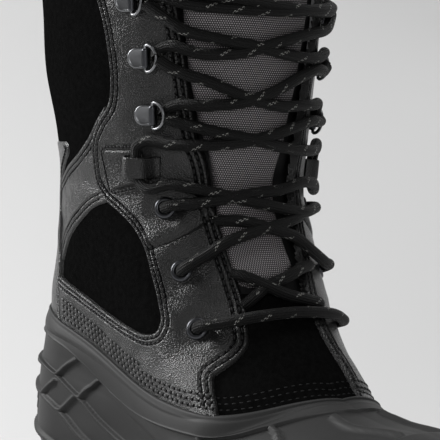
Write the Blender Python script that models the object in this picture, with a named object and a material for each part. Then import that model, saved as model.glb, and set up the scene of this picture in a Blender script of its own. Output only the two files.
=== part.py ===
"""Men's pac boot, right foot, as separate solids.

A rubber shell stands on a lugged outsole. A leather upper is set into the shell's rim and opens at
the collar and down the front, where a padded nylon tongue lies under the lace. Units are metres,
+Z is up, the toe points to -Y and the wearer's right is -X. The origin is on the ground, under the
middle of the heel.
"""

import math

import bmesh
import bpy
import numpy as np
from mathutils import Matrix, Vector

# Main sizes of the boot
FORM_LENGTH = 0.306
BALL_WIDTH = 0.109
TOE_SWING = 0.007

# Heights above the ground
FLOOR_BACK = 0.032
FLOOR_FRONT = 0.030
RIM_BACK = 0.127
RIM_FRONT = 0.096
RIM_DIP = 0.021
COLLAR_BACK = 0.312
COLLAR_FRONT = 0.305

# Sections of the last, from the floor up to the collar. rise runs 0 to 1 from floor to rim and
# 1 to 2 from rim to collar; back and front are shares of FORM_LENGTH; heel, waist, ball and toe are
# half widths along the section, as shares of half BALL_WIDTH; heel_round and toe_round are the
# shares of the section over which its ends round off; dip is a share of RIM_DIP; inner is the inner
# side's width against the outer side's.
SECTION_COLUMNS = ("rise_back", "rise_front", "back", "front", "heel", "waist", "ball", "toe",
                   "heel_round", "toe_round", "dip", "inner")
SECTIONS = {
    "floor":     (0.00, 0.00, 0.176, -0.820, 0.86, 0.76, 0.94, 0.88, 0.15, 0.25, 0.00, 1.00),
    "sole_edge": (0.20, 0.20, 0.180, -0.829, 0.89, 0.80, 0.97, 0.90, 0.15, 0.25, 0.45, 1.00),
    "side":      (0.39, 0.39, 0.193, -0.824, 0.98, 0.85, 1.00, 0.92, 0.16, 0.26, 0.80, 1.00),
    "toe_front": (0.56, 0.59, 0.193, -0.784, 0.98, 0.86, 1.00, 0.90, 0.17, 0.27, 1.00, 0.98),
    "toe_top":   (0.70, 0.72, 0.188, -0.688, 0.97, 0.88, 0.99, 0.88, 0.18, 0.27, 1.08, 0.95),
    "vamp":      (0.80, 0.76, 0.184, -0.594, 0.96, 0.89, 0.98, 0.88, 0.20, 0.25, 1.06, 0.92),
    "band":      (0.89, 0.86, 0.180, -0.513, 0.95, 0.90, 0.97, 0.91, 0.23, 0.21, 1.03, 0.90),
    "rim":       (1.00, 1.00, 0.176, -0.480, 0.94, 0.93, 0.96, 0.92, 0.25, 0.18, 1.00, 0.86),
    "instep":    (1.12, 1.11, 0.173, -0.418, 0.92, 0.94, 0.94, 0.88, 0.29, 0.30, 0.60, 0.93),
    "throat":    (1.24, 1.24, 0.163, -0.354, 0.93, 0.97, 0.97, 0.94, 0.37, 0.38, 0.25, 1.00),
    "ankle":     (1.38, 1.43, 0.157, -0.307, 1.00, 1.00, 0.99, 0.98, 0.48, 0.48, 0.00, 1.00),
    "calf":      (1.52, 1.57, 0.172, -0.315, 1.05, 1.06, 1.05, 1.04, 0.50, 0.50, 0.00, 1.00),
    "shaft":     (1.68, 1.71, 0.197, -0.327, 1.12, 1.12, 1.12, 1.10, 0.50, 0.50, 0.00, 1.00),
    "top":       (1.86, 1.87, 0.204, -0.341, 1.16, 1.17, 1.17, 1.16, 0.50, 0.50, 0.00, 1.00),
    "collar":    (2.00, 2.00, 0.210, -0.349, 1.20, 1.21, 1.21, 1.20, 0.50, 0.50, 0.00, 1.00),
}
STATIONS = np.array([0.0, 0.15, 0.42, 0.70, 0.88, 1.0])
SECTION_TABLE = np.array(list(SECTIONS.values()))
SECTION_PLACES = np.arange(len(SECTIONS), dtype=float)
ROW = {name: float(place) for place, name in enumerate(SECTIONS)}
LOOP_STEPS = 161
DIP_SKEW = 1.9
SWING_START = 0.06
SWING_REACH = 0.19
SWING_POWER = 1.6
SLOPE_STEP = 0.004


def hermite(x, knots, values):
    """Smooth curve through values at knots, read at x."""
    values = np.asarray(values, dtype=float)
    x = np.clip(np.asarray(x, dtype=float), knots[0], knots[-1])
    slopes = np.gradient(values, knots, axis=0)
    low = np.clip(np.searchsorted(knots, x, side="right") - 1, 0, len(knots) - 2)
    span = knots[low + 1] - knots[low]
    s = (x - knots[low]) / span
    if values.ndim > 1 and s.ndim:
        s = s[..., None]
        span = span[..., None]
    return ((2 * s**3 - 3 * s**2 + 1) * values[low] + (s**3 - 2 * s**2 + s) * span * slopes[low]
            + (3 * s**2 - 2 * s**3) * values[low + 1] + (s**3 - s**2) * span * slopes[low + 1])


def rise_height(rise, floor, rim, collar):
    """Height for a rise of 0 to 1 below the rim and 1 to 2 above it."""
    return floor + (rim - floor) * min(rise, 1.0) + (collar - rim) * max(rise - 1.0, 0.0)


def half_loop(v):
    """Half a section at row place v, from back to front, as reach, width, y, z, inner, length."""
    row = dict(zip(SECTION_COLUMNS, hermite(v, SECTION_PLACES, SECTION_TABLE)))
    t = (1 - np.cos(np.linspace(0, math.pi, LOOP_STEPS))) / 2
    back_round = np.sqrt(1 - (1 - np.minimum(t / row["heel_round"], 1))**2)
    front_round = np.sqrt(1 - (1 - np.minimum((1 - t) / row["toe_round"], 1))**2)
    widths = [row[name] for name in ("heel", "heel", "waist", "ball", "toe", "toe")]
    width = hermite(t, STATIONS, widths) * BALL_WIDTH / 2 * back_round * front_round
    y = FORM_LENGTH * (row["back"] + (row["front"] - row["back"]) * t)
    steps = np.hypot(np.diff(width), np.diff(y))
    reach = np.concatenate([[0.0], np.cumsum(steps)])
    length = reach[-1]
    reach /= length
    z_back = rise_height(row["rise_back"], FLOOR_BACK, RIM_BACK, COLLAR_BACK)
    z_front = rise_height(row["rise_front"], FLOOR_FRONT, RIM_FRONT, COLLAR_FRONT)
    z = z_back + (z_front - z_back) * reach
    z -= RIM_DIP * row["dip"] * np.sin(math.pi * reach**DIP_SKEW)**2
    return reach, width, y, z, row["inner"], length


def form(a, v):
    """Points of the last's surface: a is 0 in front, -1 to 0 on the outer side, 0 to 1 inner."""
    a = (np.asarray(a, dtype=float) + 1) % 2 - 1
    reach, width, y, z, inner, length = half_loop(v)
    here = 1 - np.abs(a)
    py = np.interp(here, reach, y)
    forward = np.clip((-py - SWING_START) / SWING_REACH, 0, None)
    side = np.where(a > 0, inner, -1.0)
    px = side * np.interp(here, reach, width) + TOE_SWING * forward**SWING_POWER
    return np.stack([px, py, np.interp(here, reach, z)], axis=-1)


def skin(a, v, out=0.0):
    """Points at a distance out from the last's surface, along its normal."""
    a = np.asarray(a, dtype=float)
    across = form(a + SLOPE_STEP, v) - form(a - SLOPE_STEP, v)
    up = form(a, v + SLOPE_STEP) - form(a, v - SLOPE_STEP)
    normal = np.cross(across, up)
    normal /= np.linalg.norm(normal, axis=-1, keepdims=True)
    return form(a, v) + normal * np.asarray(out, dtype=float)[..., None]


# Rows of the upper's mesh; what lies on it follows the same rows
UPPER_ROWS = np.array([6.5, 7.0, 7.5, 8.0, 8.8, 9.5, 10.2, 10.9, 11.6, 12.4, 13.2, 14.0])
UPPER_FRONT_CELLS = 6
UPPER_BACK_CELLS = 19

# Columns: chords leave the true curve by at most SAGITTA, within these lengths
SAGITTA = 0.0002
SHORT_CELL = 0.005
LONG_CELL = 0.018
SPREAD_STEPS = 241


def spread(rows, cells):
    """Shares from 0 to 1, closer together where the sections at rows turn sharply."""
    places = np.linspace(0, 1, SPREAD_STEPS)
    need = np.zeros(SPREAD_STEPS - 2)
    for v in rows:
        for side in (-1, 1):
            steps = np.diff(form(side * places, v)[:, :2], axis=0)
            sizes = np.linalg.norm(steps, axis=1)
            headings = np.unwrap(np.arctan2(steps[:, 1], steps[:, 0]))
            size = (sizes[1:] + sizes[:-1]) / 2
            turn = np.abs(np.diff(headings)) / size
            cell = np.clip(np.sqrt(8 * SAGITTA / np.maximum(turn, 1e-6)), SHORT_CELL, LONG_CELL)
            need = np.maximum(need, size / cell)
    total = np.concatenate([[0.0], np.cumsum(np.concatenate([need[:1], need, need[-1:]]))])
    total = (total[1:] + total[:-1]) / 2
    total = (total - total[0]) / (total[-1] - total[0])
    return np.interp(np.linspace(0, 1, cells + 1), total, places)


def cover(a, v, out=0.0):
    """Points over the upper's own facets: straight between its rows."""
    a = np.atleast_1d(np.asarray(a, dtype=float))
    v = min(max(float(v), UPPER_ROWS[0]), UPPER_ROWS[-1])
    low = min(int(np.searchsorted(UPPER_ROWS, v, side="right")) - 1, len(UPPER_ROWS) - 2)
    share = (v - UPPER_ROWS[low]) / (UPPER_ROWS[low + 1] - UPPER_ROWS[low])
    out = np.broadcast_to(np.asarray(out, dtype=float), a.shape)
    return skin(a, UPPER_ROWS[low], out) * (1 - share) + skin(a, UPPER_ROWS[low + 1], out) * share


# Walls and clearances
GAP = 0.0003
SHELL_GAP = 0.0005
OVERLAY_GAP = 0.0006
LEATHER = 0.0020
TUCK_ROWS = np.array([6.5, 7.0, 7.5])
TUCK = np.array([-0.0010, -0.0004, 0.0])
OVERLAY = 0.0014
RUBBER = 0.0030
SHELL_BOTTOM = 0.0030
INSOLE_THICK = 0.0050
INSOLE_CLEARANCE = 0.0010
OVERLAY_TOP = OVERLAY_GAP + OVERLAY

# Outsole: its side steps out from the shell, and side grooves leave a centre band uncut
FLANGE_OUT = 0.0048
RECESS_OUT = 0.0024
TREAD_OUT = 0.0038
FLANGE_TOP_DROP = 0.0025
FLANGE_HEIGHT = 0.0085
RECESS_HEIGHT = 0.0025
TREAD_EDGE = 0.0020
TOE_SPRING = 0.0110
SPRING_START = -0.185
SPRING_LENGTH = 0.075
ARCH_RISE = 0.0060
ARCH_MIDDLE = -0.052
ARCH_HALF = 0.024
ARCH_SLOPE = 0.010
GROOVE_DEPTH = 0.0060
GROOVE_WIDTH = 0.0070
GROOVE_PITCH = 0.0170
CENTRE_BAND = 0.0260
HEEL_GROOVES = 3
FORE_GROOVES = 8
HEEL_GROOVE_START = 0.030
FORE_GROOVE_START = -0.089
OUTSOLE_CELLS = 26

# Shell side, rim to sole: smooth band, then panels between long ribs, joined by cross ribs
BAND_OUT = 0.0006
RIB_HEIGHT = 0.0016
RIB_HALF = 0.07
RIB_SLOPE = 0.06
LINE_PLACES = np.array([0.00, 0.13, 0.25, 0.33, 0.45, 0.52, 0.59, 0.625, 0.66, 0.70, 0.75, 0.81, 0.90, 1.00])
SHELL_LINES = {
    "band_edge": np.array([5.85, 5.85, 6.05, 6.08, 5.88, 5.75, 5.85, 6.05, 6.30, 6.48, 6.65, 6.70, 6.72,
                           6.72]),
    "rib_one": np.array([3.00, 2.80, 2.45, 2.35, 2.25, 2.25, 2.35, 2.55, 3.10, 3.75, 4.60, 5.05, 5.20, 5.25]),
    "rib_two": np.array([2.05, 1.95, 1.70, 1.55, 1.45, 1.45, 1.50, 1.60, 1.85, 2.20, 2.80, 3.25, 3.55, 3.65]),
    "rib_three": np.array([1.00, 0.95, 0.85, 0.80, 0.75, 0.75, 0.75, 0.80, 0.90, 1.10, 1.50, 1.95, 2.25, 2.35]),
}
CROSS_RIBS = (0.90, 0.76, 0.67, 0.58, 0.43, 0.26, 0.14)
CROSS_RIB_HALF = 0.010
RIB_CLEAR = 1.9
SHELL_CELLS = 20
SHELL_INNER_ROWS = (7.0, 6.5, 5.0, 3.0, 1.0, 0.0)
TOE_CAP_START = -0.200
TOE_CAP_FADE = 0.010
TOE_CAP_HEIGHT = 0.0014

# Throat: half opening as a share of the half section, from the vamp up to the collar
VAMP_TOP = 8.80
THROAT_ROWS = np.array([7.0, 7.5, 8.2, 8.8, 9.3, 9.9, 10.6, 11.3, 12.2, 12.8, 14.0])
THROAT_HALF = np.array([0.100, 0.106, 0.108, 0.109, 0.121, 0.133, 0.150, 0.172, 0.190, 0.205, 0.225])

# Front edge of the lace quarter below the throat, and its back edge, as shares likewise
QUARTER_FRONT_ROWS = np.array([7.1, 7.35, 7.6, 7.75, 8.0, 8.2, 8.8])
QUARTER_FRONT = np.array([0.212, 0.208, 0.200, 0.165, 0.128, 0.117, 0.109])
QUARTER_BACK_ROWS = np.array([7.1, 8.3, 8.8, 9.2, 9.5, 9.65, 9.8, 10.0, 10.4, 10.9, 11.2, 11.6, 12.4, 14.0])
QUARTER_BACK = np.array([0.300, 0.300, 0.300, 0.308, 0.326, 0.365, 0.420, 0.446, 0.460, 0.458, 0.432, 0.374,
                         0.378, 0.430])

# Ankle panel between the quarter and the back stay: its top and bottom rows by share
ANKLE_PLACES = np.array([0.435, 0.480, 0.540, 0.600, 0.650, 0.700])
ANKLE_TOP = np.array([11.20, 10.85, 10.55, 10.35, 10.18, 10.02])
ANKLE_BOTTOM = np.array([9.80, 9.70, 9.50, 9.30, 9.05, 8.70])
ANKLE_ROWS = np.array([9.80, 10.00, 10.20, 10.40, 10.90, 11.20])

# Strip along the rim under the side window, and the back stay with its tab
STRIP_TOP_PLACES = np.array([0.303, 0.340, 0.420, 0.550, 0.702])
STRIP_TOP = np.array([8.25, 8.12, 8.08, 8.12, 8.30])
STAY_ROWS = np.array([7.1, 8.5, 9.5, 10.1, 10.5, 10.8])
STAY_EDGE = np.array([0.705, 0.705, 0.700, 0.680, 0.640, 0.625])
PIECE_SEAM = 0.0025
STAY_SEAM = 0.0070

# Tongue, padded between the laces, its wings lying under the quarters
TONGUE_ROWS = np.array([8.4, 8.8, 9.1, 9.5, 10.2, 10.9, 11.6, 12.4, 13.2, 13.6, 14.0])
TONGUE_COLUMNS = np.array([0.0, 0.35, 0.65, 0.88, 1.0])
TONGUE_BULGE = 0.97
TONGUE_ABOVE_COLLAR = 0.010
TONGUE_THICK = 0.0050
TONGUE_WING = 0.045
TONGUE_EDGE_ROWS = np.array([12.8, 13.4])
TONGUE_EDGE_OUT = np.array([-0.0027, -0.0045])
TONGUE_CROWN_OUT = 0.0014
TONGUE_ROOT_OUT = -0.0027

# Collar binding
BINDING_DEPTH = 0.0070
BINDING_WALL = 0.0012

# Eyelets, D-rings and lace keepers: row place and share of the half section
EYELETS = {"low": (8.30, 0.216), "middle": (9.10, 0.226), "high": (9.80, 0.248)}
RINGS = {"low": (11.30, 0.267), "middle": (12.20, 0.277), "top": (13.00, 0.308)}
KEEPER_ROW = 10.40
KEEPER_PLACE = 0.300
EYELET_RADIUS = 0.0055
EYELET_BORE = 0.0031
EYELET_BARREL = 0.0035
EYELET_LIP = 0.0012
EYELET_DEPTH = 0.0034
EYELET_CLEARANCE = 0.0004
PLATE_LENGTH = 0.0095
PLATE_HEIGHT = 0.0100
PLATE_THICK = 0.0012
BARREL_RADIUS = 0.0018
BARREL_BORE = 0.0011
BARREL_LENGTH = 0.0085
RING_WIRE = 0.00075
RING_HEIGHT = 0.0135
RING_REACH = 0.0105
RING_TILT = math.radians(28)
KEEPER_PATCH = 0.0012
KEEPER_LOOP = 0.0014
KEEPER_LOOP_WIDTH = 0.0100
KEEPER_LOOP_HALF = 0.0105
KEEPER_FOOT = 0.0040
LACE_RADIUS = 0.0027

SIDES = {"outer": -1, "inner": 1}


def hex_rgb(text):
    """Linear colour from a six-figure hex code."""
    parts = [int(text[i:i + 2], 16) / 255 for i in (0, 2, 4)]
    return tuple(c / 12.92 if c <= 0.04045 else ((c + 0.055) / 1.055)**2.4 for c in parts) + (1.0,)


def make_material(name, colour, roughness, metallic=0.0):
    material = bpy.data.materials.new(name)
    material.use_nodes = True
    shader = material.node_tree.nodes["Principled BSDF"]
    shader.inputs["Base Color"].default_value = hex_rgb(colour)
    shader.inputs["Roughness"].default_value = roughness
    shader.inputs["Metallic"].default_value = metallic
    material.diffuse_color = hex_rgb(colour)
    return material


def clear_scene():
    for item in list(bpy.data.objects):
        bpy.data.objects.remove(item, do_unlink=True)


def add_object(name, data, material, collection):
    item = bpy.data.objects.new(name, data)
    collection.objects.link(item)
    if material is not None:
        data.materials.append(material)
    return item


def closed_mesh(name, points, faces):
    """Mesh from points and faces, turned to face out."""
    bm = bmesh.new()
    verts = [bm.verts.new(Vector(point)) for point in points]
    for face in faces:
        bm.faces.new([verts[i] for i in face])
    bmesh.ops.triangulate(bm, faces=[face for face in bm.faces if len(face.verts) > 4])
    if bm.calc_volume(signed=True) < 0:
        bmesh.ops.reverse_faces(bm, faces=bm.faces)
    mesh = bpy.data.meshes.new(name)
    bm.to_mesh(mesh)
    bm.free()
    mesh.shade_smooth()
    mesh.set_sharp_from_angle(angle=math.radians(35))
    return mesh


def loft(loops):
    """Closed solid through loops of equal count; each end is closed straight across."""
    count = len(loops[0])
    points = np.concatenate(loops)
    faces = []
    for row in range(len(loops) - 1):
        for i in range(count):
            j = (i + 1) % count
            faces.append((row * count + i, row * count + j, (row + 1) * count + j, (row + 1) * count + i))
    for start, turn in ((0, 1), ((len(loops) - 1) * count, -1)):
        faces.append((start, start + count - 1, start + 1)[::turn])
        for i in range(1, count // 2 - 1):
            faces.append((start + i, start + count - i, start + count - i - 1, start + i + 1)[::turn])
        faces.append((start + count // 2 - 1, start + count // 2 + 1, start + count // 2)[::turn])
    return points, faces


def wall(outer, inner, keep=None, wrap=False):
    """Solid between two grids of points; keep marks the cells that are there."""
    rows, columns = outer.shape[:2]
    last = columns if wrap else columns - 1
    if keep is None:
        keep = np.ones((rows - 1, last), dtype=bool)
    used = {}
    points = []
    faces = []
    edges = {}

    def corner(layer, r, c):
        key = (layer, r, c % columns)
        if key not in used:
            used[key] = len(points)
            points.append((outer, inner)[layer][r, c % columns])
        return used[key]

    for r in range(rows - 1):
        for c in range(last):
            if not keep[r, c]:
                continue
            ring = [(r, c), (r, c + 1), (r + 1, c + 1), (r + 1, c)]
            faces.append([corner(0, *place) for place in ring])
            faces.append([corner(1, *place) for place in reversed(ring)])
            for start, end in zip(ring, ring[1:] + ring[:1]):
                start = (start[0], start[1] % columns)
                end = (end[0], end[1] % columns)
                if (end, start) in edges:
                    del edges[(end, start)]
                else:
                    edges[(start, end)] = True
    for start, end in edges:
        faces.append([corner(0, *end), corner(0, *start), corner(1, *start), corner(1, *end)])
    return points, faces


def throat_half(v):
    return np.interp(v, THROAT_ROWS, THROAT_HALF)


def around(v, base):
    """Shares around a section: first across the throat, then around the back."""
    half = float(throat_half(v))
    front = np.linspace(-half, half, UPPER_FRONT_CELLS + 1)[:-1]
    side = half + (1 - half) * base
    return np.concatenate([front, side, 2 - side[-2:0:-1]])


def upper_base():
    """Places of the upper's columns between the throat's edge (0) and the back (1)."""
    half = float(throat_half(VAMP_TOP))
    places = spread((6.6, 7.0, 7.5, 8.2, 9.0, 11.0, 13.0), SPREAD_STEPS)
    start = np.interp(half, places, np.arange(len(places)))
    base = np.interp(np.linspace(start, len(places) - 1, UPPER_BACK_CELLS + 1), np.arange(len(places)), places)
    return (base - half) / (1 - half)


def surface_grid(shares, rows, out):
    """Grid of points: shares and rows are matching arrays, out a distance for each row."""
    return np.array([skin(a, v, np.full(len(a), o)) for a, v, o in zip(shares, rows, out)])


def surface_frame(a, v, out):
    """Place and axes on the surface: forward to the throat, along the section's height, out."""
    point = cover(a, v, out)[0]
    forward = (form([a - math.copysign(SLOPE_STEP, a)], v) - form([a], v))[0]
    normal = skin([a], v, [1.0])[0] - form([a], v)[0]
    forward -= normal * forward.dot(normal)
    forward /= np.linalg.norm(forward)
    side = np.cross(normal, forward)
    frame = Matrix.Identity(4)
    for column, axis in enumerate((forward, side, normal, point)):
        for line in range(3):
            frame[line][column] = axis[line]
    return frame


def finer(grid, cells):
    """Grid with each axis resampled straight between its own values."""
    for axis in range(2):
        places = np.linspace(0, grid.shape[axis] - 1, cells + 1)
        low = np.minimum(places.astype(int), grid.shape[axis] - 2)
        share = (places - low).reshape([-1 if k == axis else 1 for k in range(grid.ndim)])
        grid = np.take(grid, low, axis) * (1 - share) + np.take(grid, low + 1, axis) * share
    return grid


def add_wall(name, shares, rows, low, high, material, collection, keep=None, wrap=False):
    """Wall over a grid of shares and rows (both two-way arrays), low to high out from the last."""
    outer = []
    inner = []
    for r in range(shares.shape[0]):
        line_out = []
        line_in = []
        for a, v in zip(shares[r], rows[r]):
            line_out.append(cover(a, v, high)[0])
            line_in.append(cover(a, v, low)[0])
        outer.append(line_out)
        inner.append(line_in)
    points, faces = wall(np.array(outer), np.array(inner), keep, wrap)
    return add_object(name, closed_mesh(name, points, faces), material, collection)


def shell_columns():
    """Shares around the shell, with three columns at each cross rib."""
    plain = spread((0.0, 2.0, 4.0, 6.0, 7.0), SHELL_CELLS)
    ribs = []
    for place in CROSS_RIBS:
        ribs += [place - CROSS_RIB_HALF, place, place + CROSS_RIB_HALF]
        plain = [a for a in plain if abs(a - place) > CROSS_RIB_HALF * RIB_CLEAR]
    half = sorted(set(plain + ribs))
    return np.array([-a for a in reversed(half[1:])] + half[:-1])


def shell_rows(a):
    """Row places down the shell's outer face at share a, each with its kind."""
    edge, one, two, three = (float(np.interp(abs(a), LINE_PLACES, line)) for line in SHELL_LINES.values())
    rows = [(ROW["rim"], "rim"), ((ROW["rim"] + edge) / 2, "band"), (edge + RIB_SLOPE, "band"),
            (edge - RIB_SLOPE, "panel"), ((edge + one) / 2, "panel")]
    for middle in (one, two, three):
        rows.append((middle + RIB_HALF + RIB_SLOPE * 2, "panel"))
        rows.append((middle + RIB_HALF, "rib"))
        rows.append((middle - RIB_HALF, "rib"))
        rows.append((middle - RIB_HALF - RIB_SLOPE * 2, "panel"))
    rows.append((0.0, "sole"))
    return rows


def shell_height(kind, a, v):
    """How far the shell's outer face stands out at one of its rows."""
    out = SHELL_GAP + RUBBER
    if kind == "band":
        out += BAND_OUT
    elif kind == "rib" or (kind == "panel" and min(abs(abs(a) - place) for place in CROSS_RIBS) < 1e-6):
        out += RIB_HEIGHT
    reach = (TOE_CAP_START - form([a], v)[0, 1]) / TOE_CAP_FADE
    return out + min(max(reach, 0.0), 1.0) * TOE_CAP_HEIGHT


def build_shell(material, collection):
    shares = shell_columns()
    columns = []
    for a in shares:
        column = [skin([a], v, [shell_height(kind, a, v)])[0] for v, kind in reversed(shell_rows(a))]
        floor = column[0].copy()
        floor[2] = form([a], 0.0)[0, 2] - SHELL_BOTTOM
        columns.append([floor] + column)
    loops = list(np.array(columns).transpose(1, 0, 2))
    for v in SHELL_INNER_ROWS:
        loops.append(skin(shares, v, np.full(len(shares), SHELL_GAP)))
    points, faces = loft(loops)
    return add_object("shell", closed_mesh("shell", points, faces), material, collection)


def ground_height(y):
    """Height of the tread's underside: flat heel and forefoot, raised arch and toe."""
    arch = ARCH_RISE * np.clip((ARCH_HALF + ARCH_SLOPE - np.abs(y - ARCH_MIDDLE)) / ARCH_SLOPE, 0, 1)
    forward = np.clip((SPRING_START - y) / SPRING_LENGTH, 0, None)
    return arch + TOE_SPRING * forward**2


def build_outsole(material, collection, cutters):
    half = spread((0.0,), OUTSOLE_CELLS)
    shares = np.concatenate([-half[:0:-1], half[:-1]])

    def outline(out):
        return skin(shares, 0.0, np.full(len(shares), SHELL_GAP + RUBBER + out))

    top = outline(0.0)
    top[:, 2] = form(shares, 0.0)[:, 2] - SHELL_BOTTOM - GAP
    ground = ground_height(top[:, 1])
    loops = [top]
    drop = FLANGE_TOP_DROP
    for out in (FLANGE_OUT, FLANGE_OUT, RECESS_OUT, TREAD_OUT):
        loop = outline(out)
        loop[:, 2] = top[:, 2] - drop
        loops.append(loop)
        drop += FLANGE_HEIGHT if len(loops) == 2 else RECESS_HEIGHT
    edge = outline(TREAD_OUT)
    edge[:, 2] = ground_height(edge[:, 1]) + TREAD_EDGE
    loops.append(edge)
    foot = outline(TREAD_OUT - TREAD_EDGE)
    foot[:, 2] = ground_height(foot[:, 1])
    loops.append(foot)
    points, faces = loft(loops)
    sole = add_object("outsole", closed_mesh("outsole", points, faces), material, collection)
    starts = [HEEL_GROOVE_START - GROOVE_PITCH * i for i in range(HEEL_GROOVES)]
    starts += [FORE_GROOVE_START - GROOVE_PITCH * i for i in range(FORE_GROOVES)]
    bm = bmesh.new()
    for side in SIDES.values():
        for y in starts:
            middle = TOE_SWING * max((-y - SWING_START) / SWING_REACH, 0)**SWING_POWER
            height = float(ground_height(np.array(y)))
            reach = BALL_WIDTH / 2
            size = Matrix.Diagonal((reach, GROOVE_WIDTH, GROOVE_DEPTH * 2, 1))
            turn = Matrix.Rotation(-side * math.radians(12), 4, "Z")
            place = Matrix.Translation((middle + side * (CENTRE_BAND + reach) / 2,
                                        y - side * GROOVE_PITCH / 4, height))
            bmesh.ops.create_cube(bm, size=1.0, matrix=place @ turn @ size)
    mesh = bpy.data.meshes.new("tread_grooves")
    bm.to_mesh(mesh)
    bm.free()
    grooves = add_object("tread_grooves", mesh, None, cutters)
    grooves.hide_render = True
    grooves.display_type = "WIRE"
    cut = sole.modifiers.new("grooves", "BOOLEAN")
    cut.operation = "DIFFERENCE"
    cut.solver = "EXACT"
    cut.object = grooves
    return sole


def build_insole(material, collection):
    shares = np.linspace(-1, 1, 41)[:-1]
    low = skin(shares, 0.0, np.full(len(shares), -INSOLE_CLEARANCE))
    low[:, 2] = form(shares, 0.0)[:, 2] + SHELL_GAP
    high = low.copy()
    high[:, 2] += INSOLE_THICK
    points, faces = loft([low, high])
    return add_object("insole", closed_mesh("insole", points, faces), material, collection)


def eyelet_holes(cutters):
    """One cutter for the eyelet holes of both sides."""
    bm = bmesh.new()
    for side in SIDES.values():
        for v, place in EYELETS.values():
            frame = surface_frame(side * place, v, 0.0)
            bmesh.ops.create_cone(bm, cap_ends=True, segments=12, radius1=EYELET_BARREL + EYELET_CLEARANCE,
                                  radius2=EYELET_BARREL + EYELET_CLEARANCE, depth=EYELET_DEPTH * 4,
                                  matrix=frame)
    mesh = bpy.data.meshes.new("eyelet_holes")
    bm.to_mesh(mesh)
    bm.free()
    holes = add_object("eyelet_holes", mesh, None, cutters)
    holes.hide_render = True
    holes.display_type = "WIRE"
    return holes


def cut_with(item, cutter):
    cut = item.modifiers.new(cutter.name, "BOOLEAN")
    cut.operation = "DIFFERENCE"
    cut.solver = "EXACT"
    cut.object = cutter
    return item


def build_upper(material, collection, holes):
    base = upper_base()
    shares = [around(v, base) for v in UPPER_ROWS]
    tuck = list(np.interp(UPPER_ROWS, TUCK_ROWS, TUCK))
    outer = surface_grid(shares, UPPER_ROWS, tuck)
    inner = surface_grid(shares, UPPER_ROWS, [out - LEATHER for out in tuck])
    keep = np.ones((len(UPPER_ROWS) - 1, outer.shape[1]), dtype=bool)
    keep[list(UPPER_ROWS).index(VAMP_TOP):, :UPPER_FRONT_CELLS] = False
    points, faces = wall(outer, inner, keep, wrap=True)
    upper = add_object("upper", closed_mesh("upper", points, faces), material, collection)
    return cut_with(upper, holes)


def build_quarter(name, side, material, collection, holes):
    """Leather along the laces, from the rim to the collar."""
    rows = QUARTER_ROWS
    cells = np.linspace(0, 1, QUARTER_CELLS + 1)
    shares = []
    for v in rows:
        front = np.interp(v, QUARTER_FRONT_ROWS, QUARTER_FRONT) if v < VAMP_TOP else throat_half(v)
        back = np.interp(v, QUARTER_BACK_ROWS, QUARTER_BACK)
        shares.append(side * (front + (back - front) * cells))
    rows = np.repeat(rows[:, None], QUARTER_CELLS + 1, axis=1)
    item = add_wall(name, np.array(shares), rows, OVERLAY_GAP, OVERLAY_TOP, material, collection)
    return cut_with(item, holes)


QUARTER_CELLS = 5
QUARTER_ROWS = np.array([7.12, 7.35, 7.5, 7.6, 7.75, 8.0, 8.3, 8.8, 9.2, 9.5, 9.65, 9.8, 10.0, 10.2, 10.4, 10.9,
                         11.2, 11.6, 12.4, 13.2, 13.7])
PANEL_CELLS = 3
PANEL_COLUMNS = 10


def build_panel(name, side, places, low, high, material, collection):
    """Leather panel between two edges given as rows by share."""
    shares = np.linspace(places[0], places[-1], PANEL_COLUMNS + 1)
    bottom = np.interp(shares, places, low)
    top = np.interp(shares, places, high)
    rise = np.linspace(0, 1, PANEL_CELLS + 1)[:, None]
    rows = bottom + (top - bottom) * rise
    grid = np.repeat(side * shares[None, :], PANEL_CELLS + 1, axis=0)
    return add_wall(name, grid, rows, OVERLAY_GAP, OVERLAY_TOP, material, collection)


def build_ankle(name, side, material, collection):
    columns = np.linspace(0, 1, PANEL_COLUMNS + 1)
    shares = []
    rows = []
    for start_v in ANKLE_ROWS:
        cell = (start_v - ANKLE_ROWS[0]) / (ANKLE_ROWS[-1] - ANKLE_ROWS[0])
        line_a = []
        line_v = []
        for column in columns:
            start = np.interp(start_v, QUARTER_BACK_ROWS, QUARTER_BACK) + PIECE_SEAM
            end_v = ANKLE_BOTTOM[-1] + (ANKLE_TOP[-1] - ANKLE_BOTTOM[-1]) * cell
            end = np.interp(end_v, STAY_ROWS, STAY_EDGE) - STAY_SEAM
            a = start + (end - start) * column
            low = np.interp(a, ANKLE_PLACES, ANKLE_BOTTOM)
            high = np.interp(a, ANKLE_PLACES, ANKLE_TOP)
            line_a.append(side * a)
            line_v.append(start_v if column == 0 else end_v if column == 1 else low + (high - low) * cell)
        shares.append(line_a)
        rows.append(line_v)
    return add_wall(name, np.array(shares), np.array(rows), OVERLAY_GAP, OVERLAY_TOP, material, collection)


def build_back_stay(material, collection):
    rows = np.array([7.12, 7.5, 8.0, 8.8, 9.5, 9.8, 10.2, 10.5, 10.8])
    shares = []
    for v in rows:
        edge = np.interp(v, STAY_ROWS, STAY_EDGE)
        shares.append(np.linspace(edge, 2 - edge, STAY_CELLS + 1))
    rows = np.repeat(rows[:, None], STAY_CELLS + 1, axis=1)
    return add_wall("back_stay", np.array(shares), rows, OVERLAY_GAP, OVERLAY_TOP, material, collection)


STAY_CELLS = 18


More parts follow.
